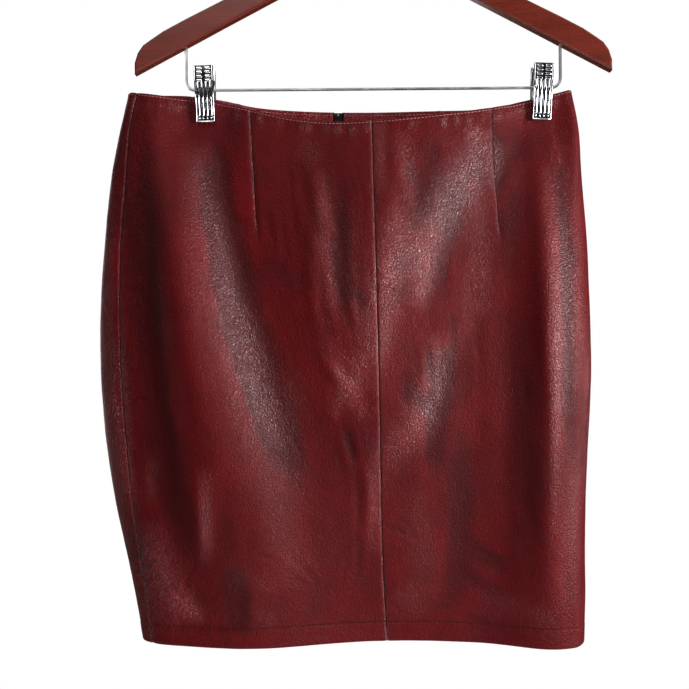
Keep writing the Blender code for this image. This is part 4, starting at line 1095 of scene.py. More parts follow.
class FinishGroups:
    """The shader node groups that several finishes share, each built once."""

    def __init__(self) -> None:
        """Build the groups."""
        self.pebbles = self.build_pebbles()
        self.patches = self.build_patches()
        self.bending = self.build_bending()
        self.rubbing = self.build_rubbing()

    def build_pebbles(self) -> bpy.types.NodeTree:
        """Build the pebbled grain of leather: rounded cells with fine valleys between."""
        board = GroupBoard("pebbled_grain", {"Cells": 430.0, "Fine Cells": 1100.0, "Uneven": 1.2},
                           "Height", "Valley")
        vector, cells, fine_cells, uneven = board.given[:4]
        moved = board.shaken(vector, 260.0, 2.0, 0.002)
        dome = board.ranged(board.cells(moved, cells), 0.0, 0.30)
        small = board.ranged(board.cells(moved, fine_cells), 0.0, 0.35)
        height = board.math("MULTIPLY_ADD", small, 0.2, board.math("MULTIPLY", dome, 0.6))
        height = board.math("MULTIPLY_ADD", board.noise(vector, cells, 1.0), uneven, height)
        return board.close(height, board.math("SUBTRACT", 1.0, dome))

    def build_bending(self) -> bpy.types.NodeTree:
        """Build the uneven bending of a place, so that a pattern laid on it runs crookedly."""
        board = GroupBoard("crooked_place", {}, "Vector")
        return board.close(board.shaken(board.given[0], 90.0, 4.0, 0.018))

    def build_patches(self) -> bpy.types.NodeTree:
        """Build soft uneven patches with a low and a high end."""
        board = GroupBoard("soft_patches", {"Scale": 8.0, "Detail": 3.0, "Low": 0.42,
                                            "High": 0.62}, "Mask")
        vector, scale, detail, low, high = board.given[:5]
        clouds = board.noise(vector, scale, detail, 0.4, Roughness=0.55)
        return board.close(board.add("MapRange", {0: clouds, 1: low, 2: high},
                                     interpolation_type="SMOOTHSTEP").outputs[0])

    def build_rubbing(self) -> bpy.types.NodeTree:
        """Build fine hairline rubbing, as on handled metal and lacquer."""
        board = GroupBoard("hairline_rubbing", {"Scale": 60.0}, "Mask")
        scaled = board.add("VectorMath", {0: board.given[0], 3: board.given[1]},
                           operation="SCALE").outputs[0]
        first = board.noise(board.stretched(scaled, 1.0, 1.0, 22.0), 4.0, 4.0)
        second = board.noise(board.stretched(scaled, 18.0, 18.0, 1.0), 3.0, 3.0, 0.6)
        return board.close(board.math("MULTIPLY", first, second))


@dataclass(frozen=True)
class Finish:
    """What every finish has: a name, and a way to set and feed its shader."""

    name: str

    def build(self, groups: FinishGroups) -> Material:
        """Build the material.

        Args:
            groups: The shared shader groups.

        Returns:
            The material.
        """
        made = bpy.data.materials.new(self.name)
        made.use_nodes = True
        board = NodeBoard(made.node_tree)
        feeds = self.feeds(board, groups, board.add("TexCoord").outputs["Object"])
        board.feed(made.node_tree.nodes["Principled BSDF"], feeds)
        return made

    def feeds(self, board: NodeBoard, groups: FinishGroups, place: Socket) -> Feeds:
        """Lay out the finish on Object coordinates and return what its shader is fed with."""
        raise NotImplementedError


@dataclass(frozen=True)
class GrainLeather(Finish):
    """Burgundy garment leather, grain side out."""

    deep: Colour = (0.030, 0.0004, 0.0010)
    bright: Colour = (0.235, 0.0042, 0.0080)
    bruised: Colour = (0.050, 0.0026, 0.0085)
    low_roughness: float = 0.32
    high_roughness: float = 0.47

    def feeds(self, board: NodeBoard, groups: FinishGroups, place: Socket) -> Feeds:
        """Lay out dye with painted shade and painted highlight, bruises, grain, fine wrinkles and
        gloss, and painted shade in creases and seams.
        """
        height, valley = board.placed(groups.pebbles, place)
        broad, = board.placed(groups.patches, place, Scale=7.0, Low=0.30, High=0.72)
        small, = board.placed(groups.patches, place, Scale=42.0, Low=0.40, High=0.66)
        bruise, = board.placed(groups.patches, place, Scale=13.0, Detail=4.0, Low=0.55, High=0.70)
        # The dye's lightness carries painted shade on the dark bands and painted highlight on the
        # bright ones.
        dye_and_painted_shading = board.math("ADD", board.trait("dye_and_painted_shading"), -0.04)
        dye_and_painted_shading = board.math("MULTIPLY_ADD", broad, 0.10, dye_and_painted_shading)
        colour = board.mix(dye_and_painted_shading, self.deep, self.bright)
        colour = board.mix(board.math("MULTIPLY", small, 0.16), colour, self.deep)
        colour = board.mix(board.math("MULTIPLY", bruise, 0.32), colour, self.bruised)
        # Painted shade: the dye darkens where the leather sinks into its creases and in its seams'
        # grooves.
        painted_crease_shade = board.ranged(board.trait("crease"), 0.55, 0.95, 0.0, 0.6)
        colour = board.mix(painted_crease_shade, colour, self.deep)
        colour = board.mix(board.math("MULTIPLY", valley, 0.2), colour, self.deep)
        polish = board.trait("polish")
        rough = board.ranged(polish, 0.0, 1.0, self.high_roughness, self.low_roughness)
        crepes = board.noise(board.stretched(place, 1.0, 1.0, 0.45), 110.0, 3.0, 0.8)
        cracks = board.cells(board.placed(groups.bending, place)[0], 105.0)
        crazed = board.math("MULTIPLY", board.ranged(cracks, 0.0, 0.12), board.trait("crazed"))
        creped = board.bump(crazed, 0.5, 0.0008, board.bump(crepes, 0.12, 0.0005))
        return {"Base Color": colour,
                "Roughness": board.math("MULTIPLY_ADD", small, 0.08, rough),
                "Coat Weight": polish,
                "Normal": board.bump(height, 1.0, 0.00038, creped),
                "Coat Normal": board.bump(height, 1.0, 0.00050, creped),
                "Specular IOR Level": 0.14, "Coat Roughness": 0.14}


@dataclass(frozen=True)
class FleshSide(Finish):
    """The napped inner side of the leather."""

    dark: Colour = (0.040, 0.008, 0.010)
    light: Colour = (0.085, 0.022, 0.024)

    def feeds(self, board: NodeBoard, groups: FinishGroups, place: Socket) -> Feeds:
        """Lay out cloudy dye and a short nap."""
        broad, = board.placed(groups.patches, place, Scale=16.0, Detail=4.0, Low=0.35, High=0.65)
        nap = board.noise(board.stretched(place, 1.0, 1.0, 0.4), 900.0, 5.0, 0.5)
        shade = board.math("MULTIPLY_ADD", nap, 0.6, board.math("MULTIPLY", broad, 0.5))
        return {"Base Color": board.mix(shade, self.dark, self.light),
                "Normal": board.bump(nap, 0.8, 0.0003), "Roughness": 0.92,
                "Specular IOR Level": 0.25, "Sheen Weight": 0.3, "Sheen Roughness": 0.5}


@dataclass(frozen=True)
class SewingThread(Finish):
    """Twisted polyester sewing thread."""

    dark: Colour = (0.200, 0.070, 0.070)
    light: Colour = (0.500, 0.270, 0.250)

    def feeds(self, board: NodeBoard, groups: FinishGroups, place: Socket) -> Feeds:
        """Lay out the twist and its wear."""
        twist = board.waves(place, 900.0, "DIAGONAL", Distortion=2.0, Detail=1.0)
        worn, = board.placed(groups.patches, place, Scale=55.0, Low=0.3, High=0.7)
        shade = board.math("MULTIPLY_ADD", twist, 0.45, board.math("MULTIPLY", worn, 0.55))
        return {"Base Color": board.mix(shade, self.dark, self.light), "Roughness": 0.62,
                "Normal": board.bump(twist, 0.6, 0.00012)}


@dataclass(frozen=True)
class WovenTape(Finish):
    """Dark woven zip tape."""

    dark: Colour = (0.010, 0.003, 0.004)
    light: Colour = (0.050, 0.016, 0.018)

    def feeds(self, board: NodeBoard, groups: FinishGroups, place: Socket) -> Feeds:
        """Lay out the weave and its fading."""
        weave = board.math("MULTIPLY", board.waves(place, 330.0, "Z", Distortion=0.4),
                           board.waves(place, 420.0, "X", Distortion=0.4))
        fade, = board.placed(groups.patches, place, Scale=40.0, Low=0.3, High=0.7)
        shade = board.math("MULTIPLY_ADD", fade, 0.3, weave)
        return {"Base Color": board.mix(shade, self.dark, self.light), "Roughness": 0.85,
                "Normal": board.bump(weave, 0.9, 0.0002)}


@dataclass(frozen=True)
class PlatedMetal(Finish):
    """Bright or satin plated metal with hairline rubbing."""

    bright: Colour = (0.80, 0.80, 0.81)
    dull: Colour = (0.55, 0.55, 0.56)
    low_roughness: float = 0.07
    high_roughness: float = 0.20

    def feeds(self, board: NodeBoard, groups: FinishGroups, place: Socket) -> Feeds:
        """Lay out hairlines and smears."""
        rub, = board.placed(groups.rubbing, place, Scale=70.0)
        smear, = board.placed(groups.patches, place, Scale=70.0, Low=0.45, High=0.70)
        worn = board.math("MULTIPLY_ADD", rub, 0.7, board.math("MULTIPLY", smear, 0.5))
        rough = board.ranged(worn, 0.1, 0.8, self.low_roughness, self.high_roughness)
        return {"Base Color": board.mix(worn, self.bright, self.dull), "Roughness": rough,
                "Metallic": 1.0, "Normal": board.bump(rub, 0.25, 0.00006)}


@dataclass(frozen=True)
class LacqueredWood(Finish):
    """Mahogany-stained wood under satin lacquer, its grain running along the hanger."""

    dark: Colour = (0.030, 0.0024, 0.0010)
    middle: Colour = (0.105, 0.0110, 0.0042)
    light: Colour = (0.150, 0.0200, 0.0075)

    def feeds(self, board: NodeBoard, groups: FinishGroups, place: Socket) -> Feeds:
        """Lay out the figure, the rings, the open pores and the rubbed lacquer."""
        along = board.stretched(place, 1.0, 9.0, 9.0)
        figure = board.ranged(board.noise(along, 9.0, 5.0, 1.6), 0.30, 0.72)
        rings = board.waves(along, 16.0, "Z", Distortion=5.0, Detail=3.0, Detail_Scale=1.4)
        pores = board.noise(board.stretched(place, 1.0, 16.0, 26.0), 95.0, 3.0)
        pores = board.ranged(pores, 0.56, 0.68)
        colour = board.mix(figure, self.middle, self.light)
        colour = board.mix(board.math("MULTIPLY", rings, 0.28), colour, self.dark)
        colour = board.mix(board.math("MULTIPLY", pores, 0.35), colour, self.dark)
        rub, = board.placed(groups.rubbing, place, Scale=30.0)
        return {"Base Color": colour, "Roughness": board.ranged(rub, 0.05, 0.55, 0.26, 0.44),
                "Coat Weight": 0.35, "Coat Roughness": 0.22,
                "Normal": board.bump(pores, -0.2, 0.00006)}


@dataclass(frozen=True)
class PaleFloor(Finish):
    """Matt pale studio floor."""

    def feeds(self, board: NodeBoard, groups: FinishGroups, place: Socket) -> Feeds:
        """Lay out faint clouds."""
        cloud, = board.placed(groups.patches, place, Scale=1.5, Low=0.3, High=0.7)
        return {"Base Color": board.mix(cloud, (0.80, 0.80, 0.80), (0.84, 0.84, 0.84)),
                "Roughness": 0.9}


class Finishes:
    """Every material of the skirt and its hanger."""

    def __init__(self) -> None:
        """Build the shared groups and the materials."""
        groups = FinishGroups()
        self.leather = GrainLeather("burgundy_leather").build(groups)
        self.flesh = FleshSide("leather_flesh_side").build(groups)
        self.waist_thread = SewingThread("waist_thread").build(groups)
        self.hem_thread = SewingThread("hem_thread", (0.012, 0.001, 0.002),
                                       (0.050, 0.006, 0.009)).build(groups)
        self.tape = WovenTape("woven_zip_tape").build(groups)
        # The zip's nickel is darkened as painted shade, so that the slider reads dark in the
        # shaded notch at the back waist.
        self.nickel = PlatedMetal("nickel_darkened_as_painted_shade", (0.30, 0.28, 0.26), (0.10, 0.09, 0.085), 0.20,
                                  0.36).build(groups)
        self.chrome = PlatedMetal("bright_chrome").build(groups)
        self.wire = PlatedMetal("satin_wire", (0.92, 0.92, 0.93), (0.72, 0.72, 0.73), 0.28,
                                0.42).build(groups)
        self.wood = LacqueredWood("mahogany_lacquer").build(groups)
        self.floor = PaleFloor("pale_floor").build(groups)


# ---------------------------------------------------------------- making pieces

class Slot(Enum):
    """The record's material slots."""

    LEATHER = "leather"
    ZIP_TAPE = "zip_tape"
    ZIP_METAL = "zip_metal"
    CHROME = "chrome"


def grid_sheet(points: Array, turn_over: bool) -> Shape:
    """Make an open sheet from rows of points.

    Args:
        points: Places in rows and columns (mm).
        turn_over: True where the faces have to be turned to point outwards.

    Returns:
        The sheet in metres.
    """
    rows, columns = points.shape[:2]
    sheet = bmesh.new()
    bmesh.ops.create_grid(sheet, x_segments=columns - 1, y_segments=rows - 1, size=1.0)
    for vert, place in zip(sheet.verts, (points * MM).reshape(-1, 3).tolist()):
        vert.co = place
    if turn_over:
        bmesh.ops.reverse_faces(sheet, faces=sheet.faces[:])
    return sheet


def linked(name: str, shape: Shape, *materials: Material) -> Piece:
    """Turn a shape into a named object of the scene.

    Args:
        name: Its name.
        shape: Its mesh in place, in metres; it is freed.
        materials: Its materials in order.

    Returns:
        The object.
    """
    mesh = bpy.data.meshes.new(name)
    shape.to_mesh(mesh)
    shape.free()
    for material in materials:
        mesh.materials.append(material)
    made = bpy.data.objects.new(name, mesh)
    bpy.context.scene.collection.objects.link(made)
    return made


def finished(name: str, shape: Shape, slot: Slot, *materials: Material) -> Piece:
    """Turn a shape into a named piece that rides on the skirt's body.

    Args:
        name: The piece's name.
        shape: Its mesh in place, in metres; it is freed.
        slot: Not used.
        materials: Its materials in order.

    Returns:
        The piece.
    """
    piece = linked(name, shape, *materials)
    piece.data.shade_smooth()
    piece.data.set_sharp_from_angle(angle=SHARP)
    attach(piece, SKIRT_BODY)
    LOG.info("%s: %d faces", name, len(piece.data.polygons))
    return piece


def give_trait(piece: Piece, name: str, values: Array | float) -> None:
    """Keep one of the leather's traits on a piece, one value for each vertex or for all."""
    trait = piece.data.attributes.new(name, "FLOAT", "POINT")
    trait.data.foreach_set("value", np.full(len(trait.data), np.ravel(values), np.float32))


def give_wall(piece: Piece, wall: float, inner_slot: int = 0,
              weights: Array | None = None) -> None:
    """Give a sheet its wall inwards from its skin.

    Args:
        piece: The sheet.
        wall: Its thickest wall (mm).
        inner_slot: How far on in the piece's materials the inner side's is.
        weights: The share of the wall at each vertex, or None for all of it.
    """
    solid = piece.modifiers.new("wall", "SOLIDIFY")
    solid.thickness = wall * MM
    solid.offset = -1.0
    solid.use_quality_normals = True
    solid.material_offset = inner_slot
    if weights is not None:
        group = piece.vertex_groups.new(name="wall")
        for share in np.unique(weights):
            group.add(np.flatnonzero(weights == share).tolist(), float(share), "REPLACE")
        solid.vertex_group = "wall"


def ruled(stops: Sequence[Stop], position: Callable[[str], float], spacing: float) -> list[Line]:
    """Rule lines through stops, and between them where they lie further apart than a spacing.

    Args:
        stops: Landmarks with offsets, in order.
        position: Gives a landmark's usual place, to count the lines between.
        spacing: The widest gap.

    Returns:
        For each line two landmarks with offsets and how far it lies from one to the other.
    """
    lines: list[Line] = []
    for start, end in zip(stops, stops[1:]):
        gap = position(end[0]) + end[1] - position(start[0]) - start[1]
        parts = max(1, math.ceil(gap / spacing))
        lines += [(*start, *end, k / parts) for k in range(parts)]
    return lines + [(*stops[-1], *stops[-1], 0.0)]


@dataclass(frozen=True)
class Lockstitch:
    """Sizes of one stitch (mm), and the way that a row of them is sewn."""

    pitch: float = 3.4
    length: float = 2.7
    thread: float = 0.72
    lift: float = 0.22
    run_in: float = 0.6

    def sew(self, shape: Shape, path: Array, normals: Array) -> None:
        """Lay a row of stitches along a path on the leather.

        Args:
            shape: The mesh that takes the stitches.
            path: Places along the row (mm).
            normals: Outward directions there.
        """
        walked = np.concatenate([[0.0], np.cumsum(np.linalg.norm(np.diff(path, axis=0), axis=1))])

        def at(table: Array, distance: float) -> Vector:
            """Return a table's value at a distance along the path."""
            return Vector([np.interp(distance, walked, table[:, axis]) for axis in range(3)])

        for k in range(int((walked[-1] - 1.0) / self.pitch)):
            middle = (k + 0.5) * self.pitch + self.run_in
            run = at(path, middle + self.length / 2.0) - at(path, middle - self.length / 2.0)
            out = at(normals, middle).normalized()
            side = run.cross(out).normalized() * self.thread / 2.0
            centre = at(path, middle) + out * self.lift
            columns = [side * MM, out * self.thread / 2.0 * MM, run / 2.0 * MM, centre * MM]
            matrix = Matrix([list(row) for row in zip(*columns)]).to_4x4()
            bmesh.ops.create_uvsphere(shape, u_segments=6, v_segments=5, radius=1.0, matrix=matrix)


STITCH = Lockstitch()


@dataclass
class LeatherPanel:
    """One quarter of the skirt: a thin leather wall with turned edges and its own stitching.

    Its stops are offsets (mm) of the grid's lines from its edges, its dart and its hem, and its
    spacing is the grid's widest gap.
    """

    quarter: Quarter
    relief: Relief
    spacing: float
    edge_stops: Places = (0.0, 0.11, 0.41, 0.82, 1.25, 1.7, 2.2, 2.7, 3.5, 4.6, 6.0)
    dart_stops: Places = (0.25, 0.6, 1.2, 2.1, 3.4, 5.5)
    hem_stops: Places = (26.0, 22.5, 21.0, 20.0, 19.3, 18.6, 17.9, 17.2, 16.0, 14.0, 6.0, 4.0, 3.0,
                         2.4, 1.9, 1.2, 0.56, 0.15, 0.0)
    usual_waist: float = 250.0
    usual_level: float = 430.0

    def __post_init__(self) -> None:
        """Rule the quarter's grid and raise its relief."""
        quarter, relief = self.quarter, self.relief
        darts = [-offset for offset in self.dart_stops[::-1]] + [0.0, *self.dart_stops]
        stops = [("centre", offset) for offset in self.edge_stops]
        stops += [("dart", offset) for offset in darts]
        stops += [("seam", -offset) for offset in self.edge_stops[::-1]]
        level = np.array(self.usual_level)
        self.columns = ruled(stops, lambda name: float(quarter.landmark(name, level)),
                             self.spacing)
        waist = np.full((1, len(self.columns)), SIZES.waist_ring)
        edge = quarter.waist_edge(self.ruled_reach(waist)[0])
        stops = [("edge", offset) for offset in self.edge_stops]
        stops += [("hem", -offset) for offset in self.hem_stops]
        usual = {"edge": self.usual_waist, "hem": SIZES.hem_below}
        self.rows = ruled(stops, usual.get, self.spacing)
        ends = {"edge": edge, "hem": np.full(len(edge), SIZES.hem_below)}
        below = np.stack([(1.0 - share) * (ends[name] + offset)
                          + share * (ends[next_name] + next_offset)
                          for name, offset, next_name, next_offset, share in self.rows])
        self.patch = SkinPatch(quarter, self.ruled_reach(below), below, edge[None])
        swells = relief.swells(self.patch)
        height = (swells + relief.seams(self.patch) + relief.dart(self.patch)
                  + relief.edges(self.patch) - relief.turned_in(self.patch))
        self.points = self.patch.raised(height)
        # The crease trait is painted shade: how far the leather sinks in its creases, and the
        # painted shade in its seams' and dart's grooves.
        painted_shade_hollow = np.clip(0.5 - swells / 1.8 + 0.5 * relief.painted_seam_shade(self.patch), 0.0, 1.0)
        self.traits = {"crease": painted_shade_hollow, "polish": relief.polish(self.patch),
                       "dye_and_painted_shading": relief.dye_and_painted_shading(self.patch), "crazed": relief.crazed(self.patch)}

    def ruled_reach(self, below: Array) -> Array:
        """Return each column's distance from the centre line at each level."""
        found = []
        for c, (name, offset, next_name, next_offset, share) in enumerate(self.columns):
            first = self.quarter.landmark(name, below[:, c]) + offset
            second = self.quarter.landmark(next_name, below[:, c]) + next_offset
            found.append((1.0 - share) * first + share * second)
        return np.stack(found, axis=-1)

    def build(self, finishes: Finishes) -> Piece:
        """Build the panel's sheet with its wall and stitches.

        Args:
            finishes: The skirt's materials.

        Returns:
            The panel.
        """
        quarter = self.quarter
        sheet = grid_sheet(self.points, quarter.direction > 0)
        piece = finished(quarter.name + "_leather", sheet, Slot.LEATHER, finishes.leather,
                         finishes.flesh)
        for name, values in self.traits.items():
            give_trait(piece, name, values)
        thick = self.patch.over_hem <= SIZES.hem_turn
        weights = np.where(thick, 1.0, SIZES.leather / SIZES.hem_wall).ravel()
        give_wall(piece, SIZES.hem_wall, 1, weights)
        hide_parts(quarter.name + "_panel")
        self.stitch(finishes)
        return piece

    def stitch(self, finishes: Finishes) -> list[Piece]:
        """Sew the waist's row, the hem's row and, beside the zip, its row.

        Args:
            finishes: The skirt's materials.

        Returns:
            The stitching pieces.
        """
        normals = self.patch.normal
        offsets = [line[1] for line in self.rows]
        waist, hem = bmesh.new(), bmesh.new()
        for shape, offset in ((waist, SIZES.waist_stitch), (hem, -SIZES.hem_stitch)):
            row = offsets.index(offset)
            STITCH.sew(shape, self.points[row], normals[row])
        if not self.quarter.is_front:
            column = [line[1] for line in self.columns].index(SIZES.zip_stitch)
            levels = self.patch.below[:, column]
            length = int(np.sum(levels < self.quarter.zip_end() + 2.0))
            STITCH.sew(waist, self.points[5:length, column], normals[5:length, column])
        name = self.quarter.name
        return [finished(name + "_waist_stitches", waist, Slot.LEATHER, finishes.waist_thread),
                finished(name + "_hem_stitches", hem, Slot.LEATHER, finishes.hem_thread)]


@dataclass
class BackFacing:
    """The leather facing that shows inside one half of the back waist (mm)."""

    quarter: Quarter
    relief: Relief
    height: float = 42.8
    top_drop: float = 0.4
    edge_step: float = 1.0
    past_clip: float = 11.0
    short_of_fold: float = 9.0
    short_of_seam: float = 2.5

    def __post_init__(self) -> None:
        """Lay the facing on the panel's inside."""
        quarter = self.quarter
        below = np.array([SIZES.waist_ring])
        last = float(quarter.landmark("seam", below)[0]) - self.short_of_seam
        if quarter.end == "left":
            fold = float(quarter.landmark("fold", below)[0])
            last = (quarter.clip + self.past_clip + fold - self.short_of_fold) / 2.0
        first = SIZES.zip_opening + SIZES.layer_gap / 2.0 + self.edge_step
        reach = np.linspace(first, last, 110)
        edge = quarter.waist_edge(reach)
        drop = np.concatenate([[0.0, 0.15, 0.5],
                               np.linspace(1.2, self.height - self.top_drop, 26)])[:, None]
        patch = SkinPatch(quarter, np.tile(reach, (len(drop), 1)), edge + self.top_drop + drop,
                          edge[None])
        past_tape = smooth_step((patch.reach - 30.0) / 15.0)
        under = SIZES.leather + SIZES.layer_gap
        under = under + (SIZES.tape_wall + SIZES.layer_gap) * (1.0 - past_tape)
        height = self.relief.swells(patch) - under - 0.25 * bell((drop - 1.8) / 0.6)
        self.points, self.normals = patch.raised(height), patch.normal

    def build(self, finishes: Finishes) -> Piece:
        """Build the facing's sheet with its wall and stitches.

        Args:
            finishes: The skirt's materials.

        Returns:
            The facing.
        """
        side = self.quarter.end
        piece = finished("back_facing_leather_" + side,
                         grid_sheet(self.points, self.quarter.direction > 0), Slot.LEATHER,
                         finishes.leather)
        give_wall(piece, SIZES.facing_wall)
        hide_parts("back_facing_" + side)
        # The facing's dye is set lighter than the panels' as painted light, brightening a face
        # that lies in shade.
        for name, value in (("polish", 0.5), ("dye_and_painted_shading", 0.8)):
            give_trait(piece, name, value)
        rows = bmesh.new()
        inside = self.points[4] - (SIZES.facing_wall + 0.1) * self.normals[4]
        STITCH.sew(rows, inside, -self.normals[4])
        stitches = finished(piece.name + "_stitches", rows, Slot.LEATHER, finishes.waist_thread)
        return piece


@dataclass
class CentreZip:
    """The zip at the centre back: two woven tapes and the closed chain of metal teeth (mm)."""

    left: Quarter
    right: Quarter
    pitch: float = 2.1
    tooth: Places = (3.6, 1.4, 0.92)
    stop: Places = (6.0, 1.5, 2.2)
    overlap: float = 0.55
    rounding: float = 0.16

    def __post_init__(self) -> None:
        """Find the zip's ends."""
        self.top = self.right.zip_top()
        self.end = self.right.zip_end() - SIZES.zip_stop

    def tape(self, quarter: Quarter, finishes: Finishes) -> Piece:
        """Weave one tape inside its quarter's edge.

        Args:
            quarter: The back quarter.
            finishes: The skirt's materials.

        Returns:
            The tape.
        """
        inner = SIZES.chain_width / 2.0 + SIZES.layer_gap
        outer = SIZES.zip_opening + SIZES.tape_width + 0.8
        reach = np.concatenate([[inner, inner + 0.3], np.linspace(inner + 0.8, outer, 12)])
        head = np.linspace(0.6, SIZES.slider_drop - 0.5, 4)
        below = np.concatenate([self.top + head, np.linspace(self.top + 3.1, self.end, 148)])
        grid = np.meshgrid(reach, below)
        inward = np.where(grid[1] < self.top + SIZES.slider_drop - 0.4, inner - 0.1, 0.0)
        inward = np.where(np.abs(grid[1] - self.top - 7.0) < 4.6, np.maximum(inward, 1.4), inward)
        grid[0] -= inward * (outer - grid[0]) / (outer - inner)
        patch = SkinPatch(quarter, *grid, np.full((1, len(reach)), self.top))
        under = np.full(grid[0].shape, SIZES.leather + SIZES.layer_gap)
        sheet = grid_sheet(patch.raised(-under), quarter.direction > 0)
        piece = finished("zip_tape_weave_" + quarter.end, sheet, Slot.ZIP_TAPE, finishes.tape)
        give_wall(piece, SIZES.tape_wall)
        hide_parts("zip_tape_" + quarter.end)
        return piece

    def teeth(self, finishes: Finishes) -> Piece:
        """Set the two rows of meshing teeth and the stop below them.

        Args:
            finishes: The skirt's materials.

        Returns:
            The chain.
        """
        chain = bmesh.new()
        first = self.top + SIZES.slider_drop + 3.4
        aside = self.tooth[0] / 2.0 - self.overlap
        for k in range(int((self.end - 3.0 - first) / (self.pitch / 2.0))):
            self.block(chain, aside if k % 2 else -aside, first + k * self.pitch / 2.0, self.tooth)
        self.block(chain, 0.0, self.end - 1.4, self.stop)
        bmesh.ops.bevel(chain, geom=chain.edges[:], offset=self.rounding * MM, segments=1,
                        profile=0.5, affect="EDGES", material=-1)
        piece = finished("zip_teeth", chain, Slot.ZIP_METAL, finishes.nickel)
        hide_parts("zip_chain")
        return piece

    def block(self, shape: Shape, aside: float, below: float, size: Places) -> None:
        """Add one block across the zip.

        Args:
            shape: The mesh that takes it.
            aside: Its middle from the centre back line, towards +X.
            below: Its level.
            size: Its size across, through the leather and down the zip.
        """
        reaches = np.array([aside, aside, aside + 0.5])
        levels = np.array([below - 1.0, below + 1.0, below])
        upper, lower, beside = (Vector(point) for point in self.right.place(reaches, levels))
        up = (upper - lower).normalized()
        middle = (upper + lower) / 2.0
        out = up.cross((beside - middle).normalized()).normalized()
        if out.y < 0.0:
            out.negate()
        across = out.cross(up).normalized()
        centre = middle - out * (SIZES.chain_face + SIZES.chain_depth / 2.0)
        columns = [side * length for side, length in zip((across, out, up), size)] + [centre]
        matrix = Matrix([[value * MM for value in row] for row in zip(*columns)]).to_4x4()
        bmesh.ops.create_cube(shape, size=1.0, matrix=matrix)


@dataclass
class ClipPressings:
    """The ribs, studs and rolled lip pressed into one plate of a clip, in its own frame (mm)."""

    name: str
    side: float
    face: Face
    reach: float = 157.0
    bar_below: float = 223.3
    lean: float = math.radians(2.2)
    hanger_lean: float = math.radians(-0.45)
    heights: Places = (-31.2, -16.0, 0.0, 15.0, 20.5)
    faces: Places = (6.2, 7.2, 8.6, 9.8, 9.6)
    rib_places: Places = (-5.7, -1.9, 1.9, 5.7)
    rib_ends: Places = (-24.5, 4.5)
    rib_radius: float = 1.35
    dot_drop: float = 3.2
    dot_radius: float = 0.9
    stud_rows: Places = (6.8, 10.6, 14.4, 18.0)
    stud_places: Places = (-3.9, 3.9)
    stud_size: Places = (5.4, 1.5, 2.2)
    stud_rounding: float = 0.5
    rim_reach: float = 7.6
    rim_radius: float = 0.7
    side_reach: float = 8.1
    side_top: float = 19.6
    side_radius: float = 0.62

    def capsule(self, shape: Shape, start: Places, end: Places, radius: float,
                flat: float = 0.75) -> None:
        """Add a round-ended bar between two places on the plate.

        Args:
            shape: The mesh that takes it.
            start: Its first end, across and up the plate.
            end: Its other end.
            radius: Its radius.
            flat: How far it stands off the plate as a share of its radius.
        """
        ball = bmesh.ops.create_uvsphere(shape, u_segments=10, v_segments=8, radius=radius)
        run = Vector(end) - Vector(start)
        turn = Vector((0.0, 1.0)).angle_signed(run) if run.length else 0.0
        middle = (Vector(start) + Vector(end)) / 2.0
        for vert in ball["verts"]:
            x, y, z = vert.co
            stretch = 0.0 if abs(z) < 1e-6 else math.copysign(run.length / 2.0, z)
            place = Vector((x, z + stretch))
            place.rotate(Matrix.Rotation(-turn, 2))
            place += middle
            vert.co = (place.x, self.plate(place.y) + y * flat, place.y)

    def plate(self, height: float) -> float:
        """Return the plate's place through the clip at a height."""
        way = -1.0 if self.face is Face.FRONT else 1.0
        return way * float(np.interp(height, self.heights, self.faces))

    def studs(self, shape: Shape) -> None:
        """Add the rounded studs below the lip."""
        verts = []
        for height in self.stud_rows:
            for across in self.stud_places:
                place = Matrix.Translation((across, self.plate(height), height))
                scale = Matrix.Diagonal((*self.stud_size, 1.0))
                verts += bmesh.ops.create_cube(shape, size=1.0, matrix=place @ scale)["verts"]
        edges = {edge for vert in verts for edge in vert.link_edges}
        bmesh.ops.bevel(shape, geom=list(edges), offset=self.stud_rounding, segments=2,
                        profile=0.5, affect="EDGES", material=-1)

    def build(self, finishes: Finishes) -> Piece:
        """Press the ribs, the studs and the lip.

        Args:
            finishes: The materials.

        Returns:
            The pressings as one piece.
        """
        shape = bmesh.new()
        bottom, top = self.rib_ends
        for across in self.rib_places:
            self.capsule(shape, (across, bottom), (across, top), self.rib_radius)
            dot = (across, bottom - self.dot_drop)
            self.capsule(shape, dot, dot, self.dot_radius)
        rim = self.heights[0] + 0.6
        self.capsule(shape, (-self.rim_reach, rim), (self.rim_reach, rim), self.rim_radius, 1.0)
        for across in (-self.side_reach, self.side_reach):
            low, high = (across, rim + 0.6), (across, self.side_top)
            self.capsule(shape, low, high, self.side_radius, 1.0)
        self.studs(shape)
        bmesh.ops.recalc_face_normals(shape, faces=shape.faces[:])
        hang = Matrix.Rotation(self.hanger_lean, 4, "Y")
        place = Matrix.Translation(Vector((self.side * self.reach, 0.0, -self.bar_below)) * MM)
        lean = Matrix.Rotation(self.side * self.lean - self.hanger_lean, 4, "Y")
        bmesh.ops.transform(shape, matrix=hang @ place @ lean @ Matrix.Scale(MM, 4),
                            verts=shape.verts[:])
        return finished(self.name + "_pressings", shape, Slot.CHROME, finishes.chrome)


# ---------------------------------------------------------------- the studio

@dataclass(frozen=True)
class Lamp:
    """One soft rectangular light: where it is, where it points, its size and its power."""

    name: str
    place: Places
    aim: Places
    width: float
    height: float
    power: float

    def build(self) -> None:
        """Hang the light."""
        light = bpy.data.lights.new(self.name, "AREA")
        light.shape = "RECTANGLE"
        light.size, light.size_y, light.energy = self.width, self.height, self.power
        lamp = bpy.data.objects.new(self.name, light)
        lamp.location = self.place
        aim = Vector(self.aim) - Vector(self.place)
        lamp.rotation_euler = aim.to_track_quat("-Z", "Y").to_euler()
        lamp.visible_camera = False
        bpy.context.scene.collection.objects.link(lamp)


